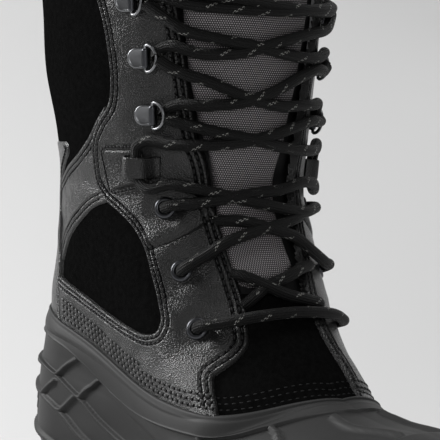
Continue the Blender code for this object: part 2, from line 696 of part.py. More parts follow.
def build_binding(material, collection):
    """Folded strip over the collar's edge, from throat edge to throat edge."""
    shares = around(ROW["collar"], upper_base())[UPPER_FRONT_CELLS:]
    shares = np.append(shares, 2 - shares[0])
    drop = BINDING_DEPTH
    near = OVERLAY_GAP
    far = near + BINDING_WALL
    profile = [(far, -drop), (far, far), (-LEATHER - far, far), (-LEATHER - far, -drop),
               (-LEATHER - near, -drop), (-LEATHER - near, near), (near, near), (near, -drop)]
    edge = ROW["collar"]
    rings = []
    for out, rise in profile:
        line = skin(shares, edge, np.full(len(shares), out))
        line[:, 2] += rise
        if rise < 0:
            lower = skin(shares, edge - LOWER_STEP, np.full(len(shares), out))
            slope = (line - lower)
            slope[:, 2] += drop
            line = skin(shares, edge, np.full(len(shares), out))
            line -= slope / slope[:, 2:] * drop
        rings.append(line)
    rings = np.array(rings)
    count = rings.shape[1]
    faces = []
    for k in range(len(profile)):
        n = (k + 1) % len(profile)
        for i in range(count - 1):
            faces.append((k * count + i, n * count + i, n * count + i + 1, k * count + i + 1))
    faces.append([k * count for k in range(len(profile))][::-1])
    faces.append([k * count + count - 1 for k in range(len(profile))])
    mesh = closed_mesh("collar_binding", rings.reshape(-1, 3), faces)
    return add_object("collar_binding", mesh, material, collection)


LOWER_STEP = 0.80


def build_tongue(material, collection):
    outer = []
    inner = []
    for v in TONGUE_ROWS:
        half = float(throat_half(v))
        side = half * TONGUE_COLUMNS
        side = np.append(side, [half + TONGUE_WING / 2, half + TONGUE_WING])
        shares = np.concatenate([-side[:0:-1], side])
        bulge = np.clip(1 - (np.abs(shares) / (half * TONGUE_BULGE))**4, 0, 1)
        crown = TONGUE_CROWN_OUT if v > VAMP_TOP + 0.2 else TONGUE_ROOT_OUT
        edge = np.interp(v, TONGUE_EDGE_ROWS, TONGUE_EDGE_OUT)
        out = edge + (crown - edge) * bulge
        outer.append(cover(shares, v, out))
        inner.append(cover(shares, v, out - TONGUE_THICK * (0.35 + 0.65 * bulge)))
    lift = outer[-1] - outer[-2]
    lift *= TONGUE_ABOVE_COLLAR / np.linalg.norm(lift, axis=1, keepdims=True)
    outer.append(outer[-1] + lift)
    inner.append(inner[-1] + lift)
    points, faces = wall(np.array(outer), np.array(inner))
    return add_object("tongue", closed_mesh("tongue", points, faces), material, collection)


def turned_mesh(name, profile, steps):
    """Ring turned about Z from a closed profile of radius and height."""
    points = []
    for step in range(steps):
        angle = 2 * math.pi * step / steps
        points += [(r * math.cos(angle), r * math.sin(angle), z) for r, z in profile]
    count = len(profile)
    faces = []
    for step in range(steps):
        after = (step + 1) % steps
        for k in range(count):
            n = (k + 1) % count
            faces.append((step * count + k, after * count + k, after * count + n, step * count + n))
    return closed_mesh(name, points, faces)


def build_eyelets(material, collection):
    low = EYELET_LIP
    profile = [(EYELET_BORE, -EYELET_DEPTH), (EYELET_BARREL, -EYELET_DEPTH), (EYELET_BARREL, 0.0),
               (EYELET_RADIUS, 0.0), (EYELET_RADIUS - low / 2, low), (EYELET_BORE + low / 3, low),
               (EYELET_BORE, low / 2)]
    mesh = turned_mesh("eyelet", profile, 12)
    for side_name, side in SIDES.items():
        for level, (v, place) in EYELETS.items():
            item = add_object("eyelet_" + side_name + "_" + level, mesh, None, collection)
            item.matrix_world = surface_frame(side * place, v, OVERLAY_TOP + OVERLAY_GAP)
    mesh.materials.append(material)


def plate_mesh(material, cutters):
    """Half-round plate with a barrel along its straight front edge."""
    bm = bmesh.new()
    corner = PLATE_HEIGHT / 2
    back = [(-PLATE_LENGTH + corner - corner * math.cos(t), corner * math.sin(t))
            for t in np.linspace(-math.pi / 2, math.pi / 2, 9)]
    outline = [(BARREL_RADIUS * 0.0, corner * 0.84), *reversed(back), (BARREL_RADIUS * 0.0, -corner * 0.84)]
    base = [bm.verts.new((x, y, 0)) for x, y in outline]
    face = bm.faces.new(base)
    grown = bmesh.ops.extrude_face_region(bm, geom=[face])
    top = [v for v in grown["geom"] if isinstance(v, bmesh.types.BMVert)]
    bmesh.ops.translate(bm, verts=top, vec=(0, 0, PLATE_THICK))
    bmesh.ops.recalc_face_normals(bm, faces=bm.faces)
    plate = bpy.data.meshes.new("ring_plate")
    bm.to_mesh(plate)
    bm.free()
    return plate


def barrel_cone(bm, radius, length):
    turn = Matrix.Rotation(math.pi / 2, 4, "X")
    place = Matrix.Translation((0, 0, BARREL_RADIUS))
    bmesh.ops.create_cone(bm, cap_ends=True, segments=10, radius1=radius, radius2=radius, depth=length,
                          matrix=place @ turn)


def evaluated_mesh(item, name):
    """Mesh of an object as its modifiers leave it."""
    graph = bpy.context.evaluated_depsgraph_get()
    return bpy.data.meshes.new_from_object(item.evaluated_get(graph), depsgraph=graph)


def build_ring_plates(material, collection, cutters):
    pattern = add_object("plate_pattern", plate_mesh(material, cutters), None, cutters)
    for name, radius, length, operation in (("barrel", BARREL_RADIUS, BARREL_LENGTH, "UNION"),
                                            ("bore", BARREL_BORE, BARREL_LENGTH * 2, "DIFFERENCE")):
        bm = bmesh.new()
        barrel_cone(bm, radius, length)
        mesh = bpy.data.meshes.new("plate_" + name)
        bm.to_mesh(mesh)
        bm.free()
        tool = add_object("plate_" + name, mesh, None, cutters)
        change = pattern.modifiers.new(name, "BOOLEAN")
        change.operation = operation
        change.solver = "EXACT"
        change.object = tool
    bpy.context.view_layer.update()
    mesh = evaluated_mesh(pattern, "ring_plate")
    mesh.materials.clear()
    mesh.materials.append(material)
    for name in ("plate_pattern", "plate_barrel", "plate_bore"):
        bpy.data.objects.remove(bpy.data.objects[name], do_unlink=True)
    for side_name, side in SIDES.items():
        for level, (v, place) in RINGS.items():
            item = add_object("ring_plate_" + side_name + "_" + level, mesh, None, collection)
            item.matrix_world = surface_frame(side * place, v, OVERLAY_TOP + OVERLAY_GAP)


def ring_path():
    """D-shaped path: straight bar along Y at the origin, bow towards +X."""
    half = RING_HEIGHT / 2 - RING_WIRE
    corner = RING_REACH * 0.22
    bow = [(corner + (RING_REACH - RING_WIRE - corner) * math.sin(t), -half * math.cos(t))
           for t in np.linspace(0, math.pi, 9)]
    return [(0, half - corner * 0.4), (0, -half + corner * 0.4), *bow]


def build_rings(material, collection):
    curve = bpy.data.curves.new("d_ring", "CURVE")
    curve.dimensions = "3D"
    path = ring_path()
    spline = curve.splines.new("POLY")
    spline.points.add(len(path) - 1)
    for point, (x, y) in zip(spline.points, path):
        point.co = (x, y, 0, 1)
    spline.use_cyclic_u = True
    curve.bevel_depth = RING_WIRE
    curve.bevel_resolution = 1
    curve.materials.append(material)
    tilt = Matrix.Rotation(-RING_TILT, 4, "Y")
    for side_name, side in SIDES.items():
        for level, (v, place) in RINGS.items():
            item = add_object("d_ring_" + side_name + "_" + level, curve, None, collection)
            frame = surface_frame(side * place, v, OVERLAY_TOP + OVERLAY_GAP + BARREL_RADIUS)
            item.matrix_world = frame @ tilt


PATCH_CELLS = 4


def build_keepers(leather, collection):
    """Patch on the quarter with a strap bridging the lace."""
    patch = np.array([[(10.00, 0.385), (10.05, 0.345), (10.12, 0.305)],
                      [(10.36, 0.398), (10.38, 0.350), (10.40, 0.262)],
                      [(10.68, 0.402), (10.68, 0.360), (10.68, 0.322)]])
    patch = finer(patch, PATCH_CELLS)
    for side_name, side in SIDES.items():
        base = OVERLAY_TOP + OVERLAY_GAP
        shares = side * patch[:, :, 1]
        add_wall("keeper_patch_" + side_name, shares, patch[:, :, 0], base, base + KEEPER_PATCH, leather,
                 collection)
        top = OVERLAY_GAP + KEEPER_PATCH
        crown = top + 2 * LACE_RADIUS + 4 * GAP
        half = KEEPER_LOOP_HALF
        inner_line = [(-half, top), (-half + KEEPER_FOOT, top)]
        arch_half = half - KEEPER_FOOT
        inner_line += [(-arch_half * math.cos(t), top + (crown - top) * math.sin(t)**0.7)
                       for t in np.linspace(0, math.pi, 9)[1:-1]]
        inner_line += [(half - KEEPER_FOOT, top), (half, top)]
        outer_line = [(x * (1 + KEEPER_LOOP * 0.5 / half), z + KEEPER_LOOP) for x, z in inner_line]
        frame = surface_frame(side * KEEPER_PLACE, KEEPER_ROW, OVERLAY_TOP + OVERLAY_GAP)
        edge = KEEPER_LOOP_WIDTH / 2
        outer = [[frame @ Vector((x, y, z)) for x, z in outer_line] for y in (-edge, edge)]
        inner = [[frame @ Vector((x, y, z)) for x, z in inner_line] for y in (-edge, edge)]
        points, faces = wall(np.array(outer), np.array(inner))
        name = "keeper_loop_" + side_name
        add_object(name, closed_mesh(name, points, faces), leather, collection)


# Lace runs as (share, row, lift in mm from the last); mirrored pairs cross and are joined
LACE_RUNS = {
    "lace_bar": [
        [(-0.214, 8.30, 7.8), (-0.17, 8.30, 6.0), (-0.10, 8.34, 5.4), (0.0, 8.40, 5.2), (0.10, 8.34, 5.4),
         (0.17, 8.30, 6.0), (0.214, 8.30, 7.8)]],
    "lace_cross_1": [
        [(-0.094, 8.66, 3.6), (-0.05, 8.86, 4.6), (0.0, 9.00, 5.0), (0.05, 9.10, 4.6), (0.100, 9.14, 3.2)],
        [(0.094, 8.60, 3.6), (0.04, 8.62, 4.6), (-0.02, 8.72, 4.9), (-0.06, 8.88, 4.6), (-0.098, 9.04, 3.2)]],
    "lace_cross_2": [
        [(-0.224, 9.10, 7.8), (-0.17, 9.24, 6.0), (-0.12, 9.40, 5.4), (-0.05, 9.54, 5.2), (0.03, 9.64, 5.0),
         (0.085, 9.70, 4.0), (0.108, 9.72, 2.8)],
        [(0.224, 9.10, 7.8), (0.17, 9.14, 6.0), (0.11, 9.28, 5.4), (0.05, 9.48, 5.2), (-0.02, 9.60, 5.0),
         (-0.08, 9.67, 4.0), (-0.108, 9.72, 2.8)],
        [(-0.246, 9.80, 7.8), (-0.19, 9.84, 6.0), (-0.13, 9.90, 5.4), (-0.05, 10.02, 5.2), (0.03, 10.10, 5.2),
         (0.11, 10.20, 5.8), (0.20, 10.16, 6.9), (0.278, 10.05, 7.2), (0.299, 10.20, 6.8),
         (0.300, 10.40, 6.7), (0.300, 10.58, 6.7)],
        [(0.246, 9.80, 7.8), (0.19, 9.78, 6.0), (0.10, 9.76, 5.4), (0.0, 9.87, 5.2), (-0.08, 9.95, 5.2),
         (-0.16, 10.06, 6.0), (-0.22, 10.12, 6.9), (-0.280, 10.05, 7.2), (-0.299, 10.20, 6.8),
         (-0.300, 10.40, 6.7), (-0.300, 10.58, 6.7)]],
    "lace_cross_3": [
        [(-0.286, 10.86, 6.8), (-0.22, 10.84, 6.2), (-0.15, 10.85, 5.6), (-0.07, 10.92, 5.2), (0.0, 11.06, 5.2),
         (0.08, 11.22, 5.2), (0.15, 11.30, 5.6), (0.212, 11.30, 6.0)],
        [(0.286, 10.86, 6.8), (0.20, 10.80, 6.2), (0.10, 10.80, 5.4), (0.03, 10.86, 5.2), (-0.03, 10.95, 5.2),
         (-0.12, 11.06, 5.4), (-0.18, 11.14, 5.8), (-0.212, 11.22, 6.0)]],
    "lace_cross_4": [
        [(-0.212, 11.46, 6.0), (-0.14, 11.50, 5.6), (-0.07, 11.58, 5.2), (-0.01, 11.76, 5.2), (0.06, 12.00, 5.2),
         (0.14, 12.14, 5.6), (0.222, 12.14, 6.0)],
        [(0.212, 11.54, 6.0), (0.12, 11.56, 5.4), (0.0, 11.56, 5.2), (-0.08, 11.70, 5.2), (-0.13, 11.86, 5.4),
         (-0.19, 12.00, 5.8), (-0.222, 12.08, 6.0)]],
    "lace_cross_5": [
        [(-0.222, 12.38, 6.0), (-0.15, 12.28, 5.6), (-0.08, 12.32, 5.2), (0.0, 12.50, 5.2), (0.08, 12.62, 5.2),
         (0.16, 12.66, 5.6), (0.250, 12.68, 6.0)],
        [(0.222, 12.39, 6.0), (0.13, 12.30, 5.4), (0.03, 12.32, 5.2), (-0.05, 12.42, 5.2), (-0.13, 12.50, 5.4),
         (-0.19, 12.58, 5.8), (-0.250, 12.68, 6.0)]],
    "lace_cross_6": [
        [(-0.254, 13.06, 6.0), (-0.18, 12.96, 5.8), (-0.10, 12.92, 5.2), (0.0, 12.94, 5.2), (0.10, 12.98, 5.4),
         (0.18, 13.04, 5.8), (0.254, 13.12, 6.0)],
        [(0.254, 13.02, 6.0), (0.17, 12.98, 5.8), (0.08, 12.96, 5.2), (0.0, 13.00, 5.2), (-0.10, 13.08, 5.4),
         (-0.18, 13.14, 5.8), (-0.254, 13.22, 6.0)]],
}
LACE_STEP = 0.0105


def lace_points(run):
    """Points along a run, evenly spaced on a smooth curve through its own places."""
    places = np.array([cover(a, v, lift / 1000)[0] for a, v, lift in run])
    knots = np.concatenate([[0.0], np.cumsum(np.linalg.norm(np.diff(places, axis=0), axis=1))])
    count = max(int(round(knots[-1] / LACE_STEP)), 3)
    return hermite(np.linspace(0, knots[-1], count + 1), knots, places)


def lace_object(name, points, collection):
    """Round cord along points, as a closed mesh."""
    curve = bpy.data.curves.new(name, "CURVE")
    curve.dimensions = "3D"
    spline = curve.splines.new("POLY")
    spline.points.add(len(points) - 1)
    for point, place in zip(spline.points, points):
        point.co = (*place, 1)
    curve.bevel_depth = LACE_RADIUS
    curve.bevel_resolution = 1
    curve.use_fill_caps = True
    item = bpy.data.objects.new(name, curve)
    collection.objects.link(item)
    bpy.context.view_layer.update()
    mesh = evaluated_mesh(item, name)
    bpy.data.objects.remove(item, do_unlink=True)
    bm = bmesh.new()
    bm.from_mesh(mesh)
    bmesh.ops.remove_doubles(bm, verts=bm.verts, dist=1e-6)
    bmesh.ops.recalc_face_normals(bm, faces=bm.faces)
    bm.to_mesh(mesh)
    bm.free()
    return add_object(name, mesh, None, collection)


def build_laces(material, collection, cutters):
    for name, runs in LACE_RUNS.items():
        item = lace_object(name, lace_points(runs[0]), collection)
        for other in runs[1:]:
            piece = lace_object(name + "_second", lace_points(other), cutters)
            piece.hide_render = True
            piece.display_type = "WIRE"
            join = item.modifiers.new("crossing", "BOOLEAN")
            join.operation = "UNION"
            join.solver = "EXACT"
            join.object = piece
        item.data.materials.append(material)


def main():
    clear_scene()
    boot = bpy.data.collections.new("pac_boot")
    cutters = bpy.data.collections.new("cutters")
    for collection in (boot, cutters):
        bpy.context.scene.collection.children.link(collection)
    rubber = make_material("rubber", "35373A", 0.62)
    leather = make_material("black_leather", "242527", 0.38)
    suede = make_material("black_suede", "141415", 0.92)
    nylon = make_material("tongue_nylon", "4A484B", 0.70)
    felt = make_material("insole_felt", "8B8C8A", 0.95)
    binding = make_material("binding", "1B1B1D", 0.80)
    metal = make_material("gunmetal", "8E8F90", 0.30, 1.0)
    eyelet_metal = make_material("dark_eyelet", "3A3B3D", 0.35, 1.0)
    cord = make_material("lace_cord", "19191B", 0.75)

    build_shell(rubber, boot)
    build_outsole(rubber, boot, cutters)
    build_insole(felt, boot)
    holes = eyelet_holes(cutters)
    build_upper(suede, boot, holes)
    build_tongue(nylon, boot)
    for side_name, side in SIDES.items():
        build_quarter("quarter_" + side_name, side, leather, boot, holes)
        build_ankle("ankle_panel_" + side_name, side, leather, boot)
        places = STRIP_TOP_PLACES
        build_panel("rim_strip_" + side_name, side, places, np.full(len(places), 7.12), STRIP_TOP, leather,
                    boot)
    build_back_stay(leather, boot)
    build_binding(binding, boot)
    build_eyelets(eyelet_metal, boot)
    build_ring_plates(metal, boot, cutters)
    build_rings(metal, boot)
    build_keepers(leather, boot)
    build_laces(cord, boot, cutters)


main()
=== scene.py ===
"""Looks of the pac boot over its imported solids: surfaces, panels, stitching, lace, light and camera."""

import math

import bpy
import numpy as np
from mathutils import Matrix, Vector, kdtree


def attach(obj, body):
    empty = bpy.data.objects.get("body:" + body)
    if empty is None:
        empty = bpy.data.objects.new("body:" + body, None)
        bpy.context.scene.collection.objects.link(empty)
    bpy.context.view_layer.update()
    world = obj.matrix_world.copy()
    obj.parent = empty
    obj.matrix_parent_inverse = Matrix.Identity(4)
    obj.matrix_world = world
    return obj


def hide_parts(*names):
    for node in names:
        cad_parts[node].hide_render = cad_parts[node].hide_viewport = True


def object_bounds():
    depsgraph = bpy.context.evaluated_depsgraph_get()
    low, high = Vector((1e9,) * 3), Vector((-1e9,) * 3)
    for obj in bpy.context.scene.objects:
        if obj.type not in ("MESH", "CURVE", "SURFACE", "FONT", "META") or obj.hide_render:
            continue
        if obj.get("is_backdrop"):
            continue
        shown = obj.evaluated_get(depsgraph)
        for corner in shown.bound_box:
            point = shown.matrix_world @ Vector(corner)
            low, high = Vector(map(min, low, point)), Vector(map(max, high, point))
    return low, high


MM = 0.001

# The boot's form, in the part's own sizes
FORM_LENGTH = 0.306
BALL_WIDTH = 0.109
TOE_SWING = 0.007
FLOOR_BACK = 0.032
FLOOR_FRONT = 0.030
RIM_BACK = 0.127
RIM_FRONT = 0.096
RIM_DIP = 0.021
COLLAR_BACK = 0.312
COLLAR_FRONT = 0.305
SECTION_COLUMNS = ("rise_back", "rise_front", "back", "front", "heel", "waist", "ball", "toe",
                   "heel_round", "toe_round", "dip", "inner")
SECTION_TABLE = np.array([
    (0.00, 0.00, 0.176, -0.820, 0.86, 0.76, 0.94, 0.88, 0.15, 0.25, 0.00, 1.00),
    (0.20, 0.20, 0.180, -0.829, 0.89, 0.80, 0.97, 0.90, 0.15, 0.25, 0.45, 1.00),
    (0.39, 0.39, 0.193, -0.824, 0.98, 0.85, 1.00, 0.92, 0.16, 0.26, 0.80, 1.00),
    (0.56, 0.59, 0.193, -0.784, 0.98, 0.86, 1.00, 0.90, 0.17, 0.27, 1.00, 0.98),
    (0.70, 0.72, 0.188, -0.688, 0.97, 0.88, 0.99, 0.88, 0.18, 0.27, 1.08, 0.95),
    (0.80, 0.76, 0.184, -0.594, 0.96, 0.89, 0.98, 0.88, 0.20, 0.25, 1.06, 0.92),
    (0.89, 0.86, 0.180, -0.513, 0.95, 0.90, 0.97, 0.91, 0.23, 0.21, 1.03, 0.90),
    (1.00, 1.00, 0.176, -0.480, 0.94, 0.93, 0.96, 0.92, 0.25, 0.18, 1.00, 0.86),
    (1.12, 1.11, 0.173, -0.418, 0.92, 0.94, 0.94, 0.88, 0.29, 0.30, 0.60, 0.93),
    (1.24, 1.24, 0.163, -0.354, 0.93, 0.97, 0.97, 0.94, 0.37, 0.38, 0.25, 1.00),
    (1.38, 1.43, 0.157, -0.307, 1.00, 1.00, 0.99, 0.98, 0.48, 0.48, 0.00, 1.00),
    (1.52, 1.57, 0.172, -0.315, 1.05, 1.06, 1.05, 1.04, 0.50, 0.50, 0.00, 1.00),
    (1.68, 1.71, 0.197, -0.327, 1.12, 1.12, 1.12, 1.10, 0.50, 0.50, 0.00, 1.00),
    (1.86, 1.87, 0.204, -0.341, 1.16, 1.17, 1.17, 1.16, 0.50, 0.50, 0.00, 1.00),
    (2.00, 2.00, 0.210, -0.349, 1.20, 1.21, 1.21, 1.20, 0.50, 0.50, 0.00, 1.00),
])
STATIONS = [0.0, 0.15, 0.42, 0.70, 0.88, 1.0]
SECTION_PLACES = np.arange(15.0)
COLLAR_ROW = 14.0
LOOP_STEPS = 161
DIP_SKEW = 1.9
SWING_START = 0.06
SWING_REACH = 0.19
SWING_POWER = 1.6

# Walls and steps
SHELL_GAP = 0.5 * MM
RUBBER = 3.0 * MM
SHELL_BOTTOM = 3.0 * MM
LEATHER = 2.0 * MM
OVERLAY_TOP = 2.0 * MM
ANKLE_TOP = 1.1 * MM
PATCH_TOP = 1.3 * MM
BAND_OUT = 1.0 * MM
RIB_HEIGHT = 2.0 * MM
RIDGE_HEIGHT = 2.1 * MM
CAP_HEIGHT = 1.5 * MM
LIP_TAPER = 1.3 * MM
BINDING = 1.8 * MM
LACE_RADIUS = 2.8 * MM

THROAT_ROWS = [7.0, 7.5, 8.2, 8.8, 9.3, 9.9, 10.6, 11.3, 12.2, 12.8, 14.0]
THROAT_HALF = [0.100, 0.106, 0.108, 0.109, 0.121, 0.133, 0.150, 0.172, 0.190, 0.205, 0.225]
VAMP_TOP = 8.8

EYELETS = {"low": (8.30, 0.216), "middle": (9.10, 0.226), "high": (9.80, 0.248)}
RINGS = {"low": (11.30, 0.267), "middle": (12.20, 0.277), "top": (13.00, 0.308)}
SIDES = {"outer": -1, "inner": 1}


def hermite(x, knots, values):
    """Smooth curve through values at knots, read at x."""
    knots = np.asarray(knots, dtype=float)
    values = np.asarray(values, dtype=float)
    x = np.clip(np.asarray(x, dtype=float), knots[0], knots[-1])
    slopes = np.gradient(values, knots, axis=0)
    low = np.clip(np.searchsorted(knots, x, side="right") - 1, 0, len(knots) - 2)
    span = knots[low + 1] - knots[low]
    s = (x - knots[low]) / span
    if values.ndim > 1 and s.ndim:
        s = s[..., None]
        span = span[..., None]
    return ((2 * s**3 - 3 * s**2 + 1) * values[low] + (s**3 - 2 * s**2 + s) * span * slopes[low]
            + (3 * s**2 - 2 * s**3) * values[low + 1] + (s**3 - s**2) * span * slopes[low + 1])


def smooth(x, low, high):
    """Soft step from 0 at low to 1 at high."""
    t = np.clip((x - low) / (high - low), 0, 1)
    return t * t * (3 - 2 * t)


def bell(x, half):
    """Hump of height 1 at zero."""
    return np.exp(-(x / half)**2)


def dome(t):
    """Quarter circle rising from 0 to 1."""
    return np.sqrt(1 - (1 - np.clip(t, 0, 1))**2)


def unit(vectors):
    return vectors / np.linalg.norm(vectors, axis=-1, keepdims=True)


def reach_of(points):
    """Distance run along a chain of points, up to each of them."""
    return np.concatenate([[0.0], np.cumsum(np.linalg.norm(np.diff(points, axis=0), axis=1))])


def side_by_side(values, count):
    return np.repeat(np.asarray(values)[:, None], count, 1)


def rise_height(rise, floor, rim, collar):
    return floor + (rim - floor) * min(rise, 1.0) + (collar - rim) * max(rise - 1.0, 0.0)


def section(v, shares):
    """Points of the form at row v."""
    row = dict(zip(SECTION_COLUMNS, hermite(v, SECTION_PLACES, SECTION_TABLE)))
    t = (1 - np.cos(np.linspace(0, math.pi, LOOP_STEPS))) / 2
    rounded = dome(t / row["heel_round"]), dome((1 - t) / row["toe_round"])
    widths = [row[name] for name in ("heel", "heel", "waist", "ball", "toe", "toe")]
    width = hermite(t, STATIONS, widths) * BALL_WIDTH / 2 * rounded[0] * rounded[1]
    y = FORM_LENGTH * (row["back"] + (row["front"] - row["back"]) * t)
    reach = np.concatenate([[0.0], np.cumsum(np.hypot(np.diff(width), np.diff(y)))])
    reach /= reach[-1]
    z_back = rise_height(row["rise_back"], FLOOR_BACK, RIM_BACK, COLLAR_BACK)
    z_front = rise_height(row["rise_front"], FLOOR_FRONT, RIM_FRONT, COLLAR_FRONT)
    z = z_back + (z_front - z_back) * reach
    z -= RIM_DIP * row["dip"] * np.sin(math.pi * reach**DIP_SKEW)**2
    here = 1 - np.abs(shares)
    py = np.interp(here, reach, y)
    forward = np.clip((-py - SWING_START) / SWING_REACH, 0, None)
    side = np.where(shares > 0, row["inner"], -1.0)
    px = side * np.interp(here, reach, width) + TOE_SWING * forward**SWING_POWER
    return np.stack([px, py, np.interp(here, reach, z)], axis=-1)


# Lookup of the form: rows up, shares around with a margin past the back on both ends
ROW_STEP = 0.05
SHARE_STEP = 1 / 400
MARGIN = 40
FORM_ROWS = np.arange(0, COLLAR_ROW + ROW_STEP / 2, ROW_STEP)
FORM_SHARES = np.arange(-400 - MARGIN, 401 + MARGIN) * SHARE_STEP
FORM = np.array([section(v, (FORM_SHARES + 1) % 2 - 1) for v in FORM_ROWS])
ALONG = np.gradient(FORM, SHARE_STEP, axis=1)
UPWARD = np.gradient(FORM, ROW_STEP, axis=0)
OUTWARD = unit(np.cross(ALONG, UPWARD))


def look_up(grid, a, v):
    """Values of a lookup grid at shares a and rows v."""
    a = np.asarray(a, dtype=float)
    v = np.asarray(v, dtype=float)
    a, v = np.broadcast_arrays((a + 1) % 2 - 1, v)
    c = (a - FORM_SHARES[0]) / SHARE_STEP
    r = np.clip(v / ROW_STEP, 0, len(FORM_ROWS) - 1.001)
    c0 = c.astype(int)
    r0 = r.astype(int)
    c = (c - c0)[..., None]
    r = (r - r0)[..., None]
    return ((grid[r0, c0] * (1 - c) + grid[r0, c0 + 1] * c) * (1 - r)
            + (grid[r0 + 1, c0] * (1 - c) + grid[r0 + 1, c0 + 1] * c) * r)


def surf(a, v, out=0.0):
    """Places at shares a and rows v, a distance out from the form."""
    normal = unit(look_up(OUTWARD, a, v))
    return look_up(FORM, a, v) + normal * np.asarray(out, dtype=float)[..., None]


def scales(a, v):
    """Metres per share and per row at a place."""
    return [np.linalg.norm(look_up(grid, a, v), axis=-1) for grid in (ALONG, UPWARD)]


def throat_half(v):
    return hermite(v, THROAT_ROWS, THROAT_HALF)


def smooth_line(points, step=0.0006):
    """Evenly spaced shares and rows on a smooth curve through given ones."""
    points = np.asarray(points, dtype=float)
    knots = reach_of(surf(points[:, 0], points[:, 1]))
    count = max(int(round(knots[-1] / step)), 2)
    return hermite(np.linspace(0, knots[-1], count + 1), knots, points)


def even(line, step, closed=False):
    """The same line with its points a given distance apart, in metres."""
    reach = reach_of(surf(line[:, 0], line[:, 1]))
    count = max(int(round(reach[-1] / step)), 1)
    at = np.arange(0, reach[-1], step) if closed else np.linspace(0, reach[-1], count + 1)
    return np.stack([np.interp(at, reach, line[:, k]) for k in (0, 1)], axis=1)


def beside(line, distance):
    """Line moved sideways along the surface: to the left as seen from outside."""
    span = 9
    turns = max(int(round(abs(distance) / MM)), 1)
    for _ in range(turns):
        size = np.stack(scales(line[:, 0], line[:, 1]), axis=1)
        step = np.gradient(line, axis=0) * size
        step /= np.maximum(np.linalg.norm(step, axis=1, keepdims=True), 1e-12)
        side = np.stack([-step[:, 1], step[:, 0]], axis=1)
        for k in range(2):
            wide = np.pad(side[:, k], span // 2, mode="edge")
            side[:, k] = np.convolve(wide, np.ones(span) / span, mode="valid")
        line = line + unit(side) * (distance / turns) / size
    return line


def distance_to(points, line):
    """Distance in metres from 3-D points to a line given as shares and rows."""
    places = surf(line[:, 0], line[:, 1])
    tree = kdtree.KDTree(len(places))
    for i, place in enumerate(places):
        tree.insert(place, i)
    tree.balance()
    found = np.array([tree.find(p)[2] for p in points.reshape(-1, 3)])
    return found.reshape(points.shape[:-1])


def inside(shares, rows, outline):
    """True where a place lies within a closed outline of shares and rows."""
    x, y = shares.ravel(), rows.ravel()
    result = np.zeros(len(x), dtype=bool)
    for (x0, y0), (x1, y1) in zip(outline, np.roll(outline, -1, axis=0)):
        if y0 == y1:
            continue
        crosses = (y0 > y) != (y1 > y)
        result ^= crosses & (x < (x1 - x0) * (y - y0) / (y1 - y0) + x0)
    return result.reshape(shares.shape)


def bump_noise(points, size, seed):
    """Smooth unevenness from -1 to 1 built from a few waves, its lumps about size across."""
    rng = np.random.default_rng(seed)
    total = np.zeros(points.shape[:-1])
    for _ in range(7):
        heading = unit(rng.normal(size=3))
        wave = size * rng.uniform(0.8, 1.9)
        total += np.sin(points @ heading * 2 * math.pi / wave + rng.uniform(0, 2 * math.pi))
    return total / 3.5


# Meshes
def make_piece(name, points, faces, material, replaced=(), uv=None, sharp=None):
    """Piece from an array of points and an array of faces with one count of corners."""
    points = np.asarray(points, dtype=float).reshape(-1, 3)
    faces = np.asarray(faces, dtype=np.int32)
    mesh = bpy.data.meshes.new(name)
    mesh.vertices.add(len(points))
    mesh.vertices.foreach_set("co", points.ravel())
    mesh.loops.add(faces.size)
    mesh.loops.foreach_set("vertex_index", faces.ravel())
    mesh.polygons.add(len(faces))
    mesh.polygons.foreach_set("loop_start", np.arange(len(faces), dtype=np.int32) * faces.shape[1])
    mesh.update(calc_edges=True)
    mesh.shade_smooth()
    if sharp:
        mesh.set_sharp_from_angle(angle=math.radians(sharp))
    if uv is not None:
        layer = mesh.uv_layers.new(name="surface")
        layer.data.foreach_set("uv", np.asarray(uv, dtype=float).reshape(-1, 2)[faces.ravel()].ravel())
    mesh.materials.append(material)
    piece = bpy.data.objects.new(name, mesh)
    bpy.context.scene.collection.objects.link(piece)
    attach(piece, "root")
    if replaced:
        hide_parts(*replaced)
    return piece


def grid_faces(rows, columns, keep=None, wrap=False):
    """Quads of a grid that faces out where columns run with the shares and rows go up."""
    r, c = np.mgrid[0:rows - 1, 0:columns if wrap else columns - 1]
    low = r * columns
    high = low + columns
    n = (c + 1) % columns
    quads = np.stack([low + c, low + n, high + n, high + c], axis=-1)
    return (quads if keep is None else quads[keep]).reshape(-1, 4)


def tube(path, radius, around, closed=False):
    """Round bar along a path, with uv along in metres and around from 0 to 1."""
    count = len(path)
    if closed:
        heading = unit(np.roll(path, -1, axis=0) - np.roll(path, 1, axis=0))
    else:
        heading = unit(np.gradient(path, axis=0))
    side = np.zeros_like(path)
    first = np.cross(heading[0], (0, 0, 1.0))
    side[0] = unit(first if np.linalg.norm(first) > 1e-3 else np.cross(heading[0], (1.0, 0, 0)))
    for i in range(1, count):
        side[i] = unit(side[i - 1] - heading[i] * side[i - 1].dot(heading[i]))
    up = np.cross(heading, side)
    turn = np.linspace(0, 2 * math.pi, around, endpoint=False)
    ring = side[:, None, :] * np.cos(turn)[None, :, None] + up[:, None, :] * np.sin(turn)[None, :, None]
    points = path[:, None, :] + ring * np.broadcast_to(radius, count)[:, None, None]
    faces = grid_faces(count, around, wrap=True)
    if closed:
        start = np.arange(around)
        end = (count - 1) * around + start
        seam = np.stack([end, np.roll(end, -1), np.roll(start, -1), start], axis=1)
        faces = np.concatenate([faces, seam])
    uv = np.stack([side_by_side(reach_of(path), around), np.repeat((turn / 2 / math.pi)[None], count, 0)], -1)
    return points, faces[:, ::-1], uv


def frame_at(a, v, out):
    """Place and axes on the surface: towards the throat, up, out."""
    normal = unit(surf(a, v, 1.0) - surf(a, v))
    ahead = -math.copysign(1, a) * look_up(ALONG, a, v)
    ahead = unit(ahead - normal * ahead.dot(normal))
    return surf(a, v, out), np.stack([ahead, np.cross(normal, ahead), normal])


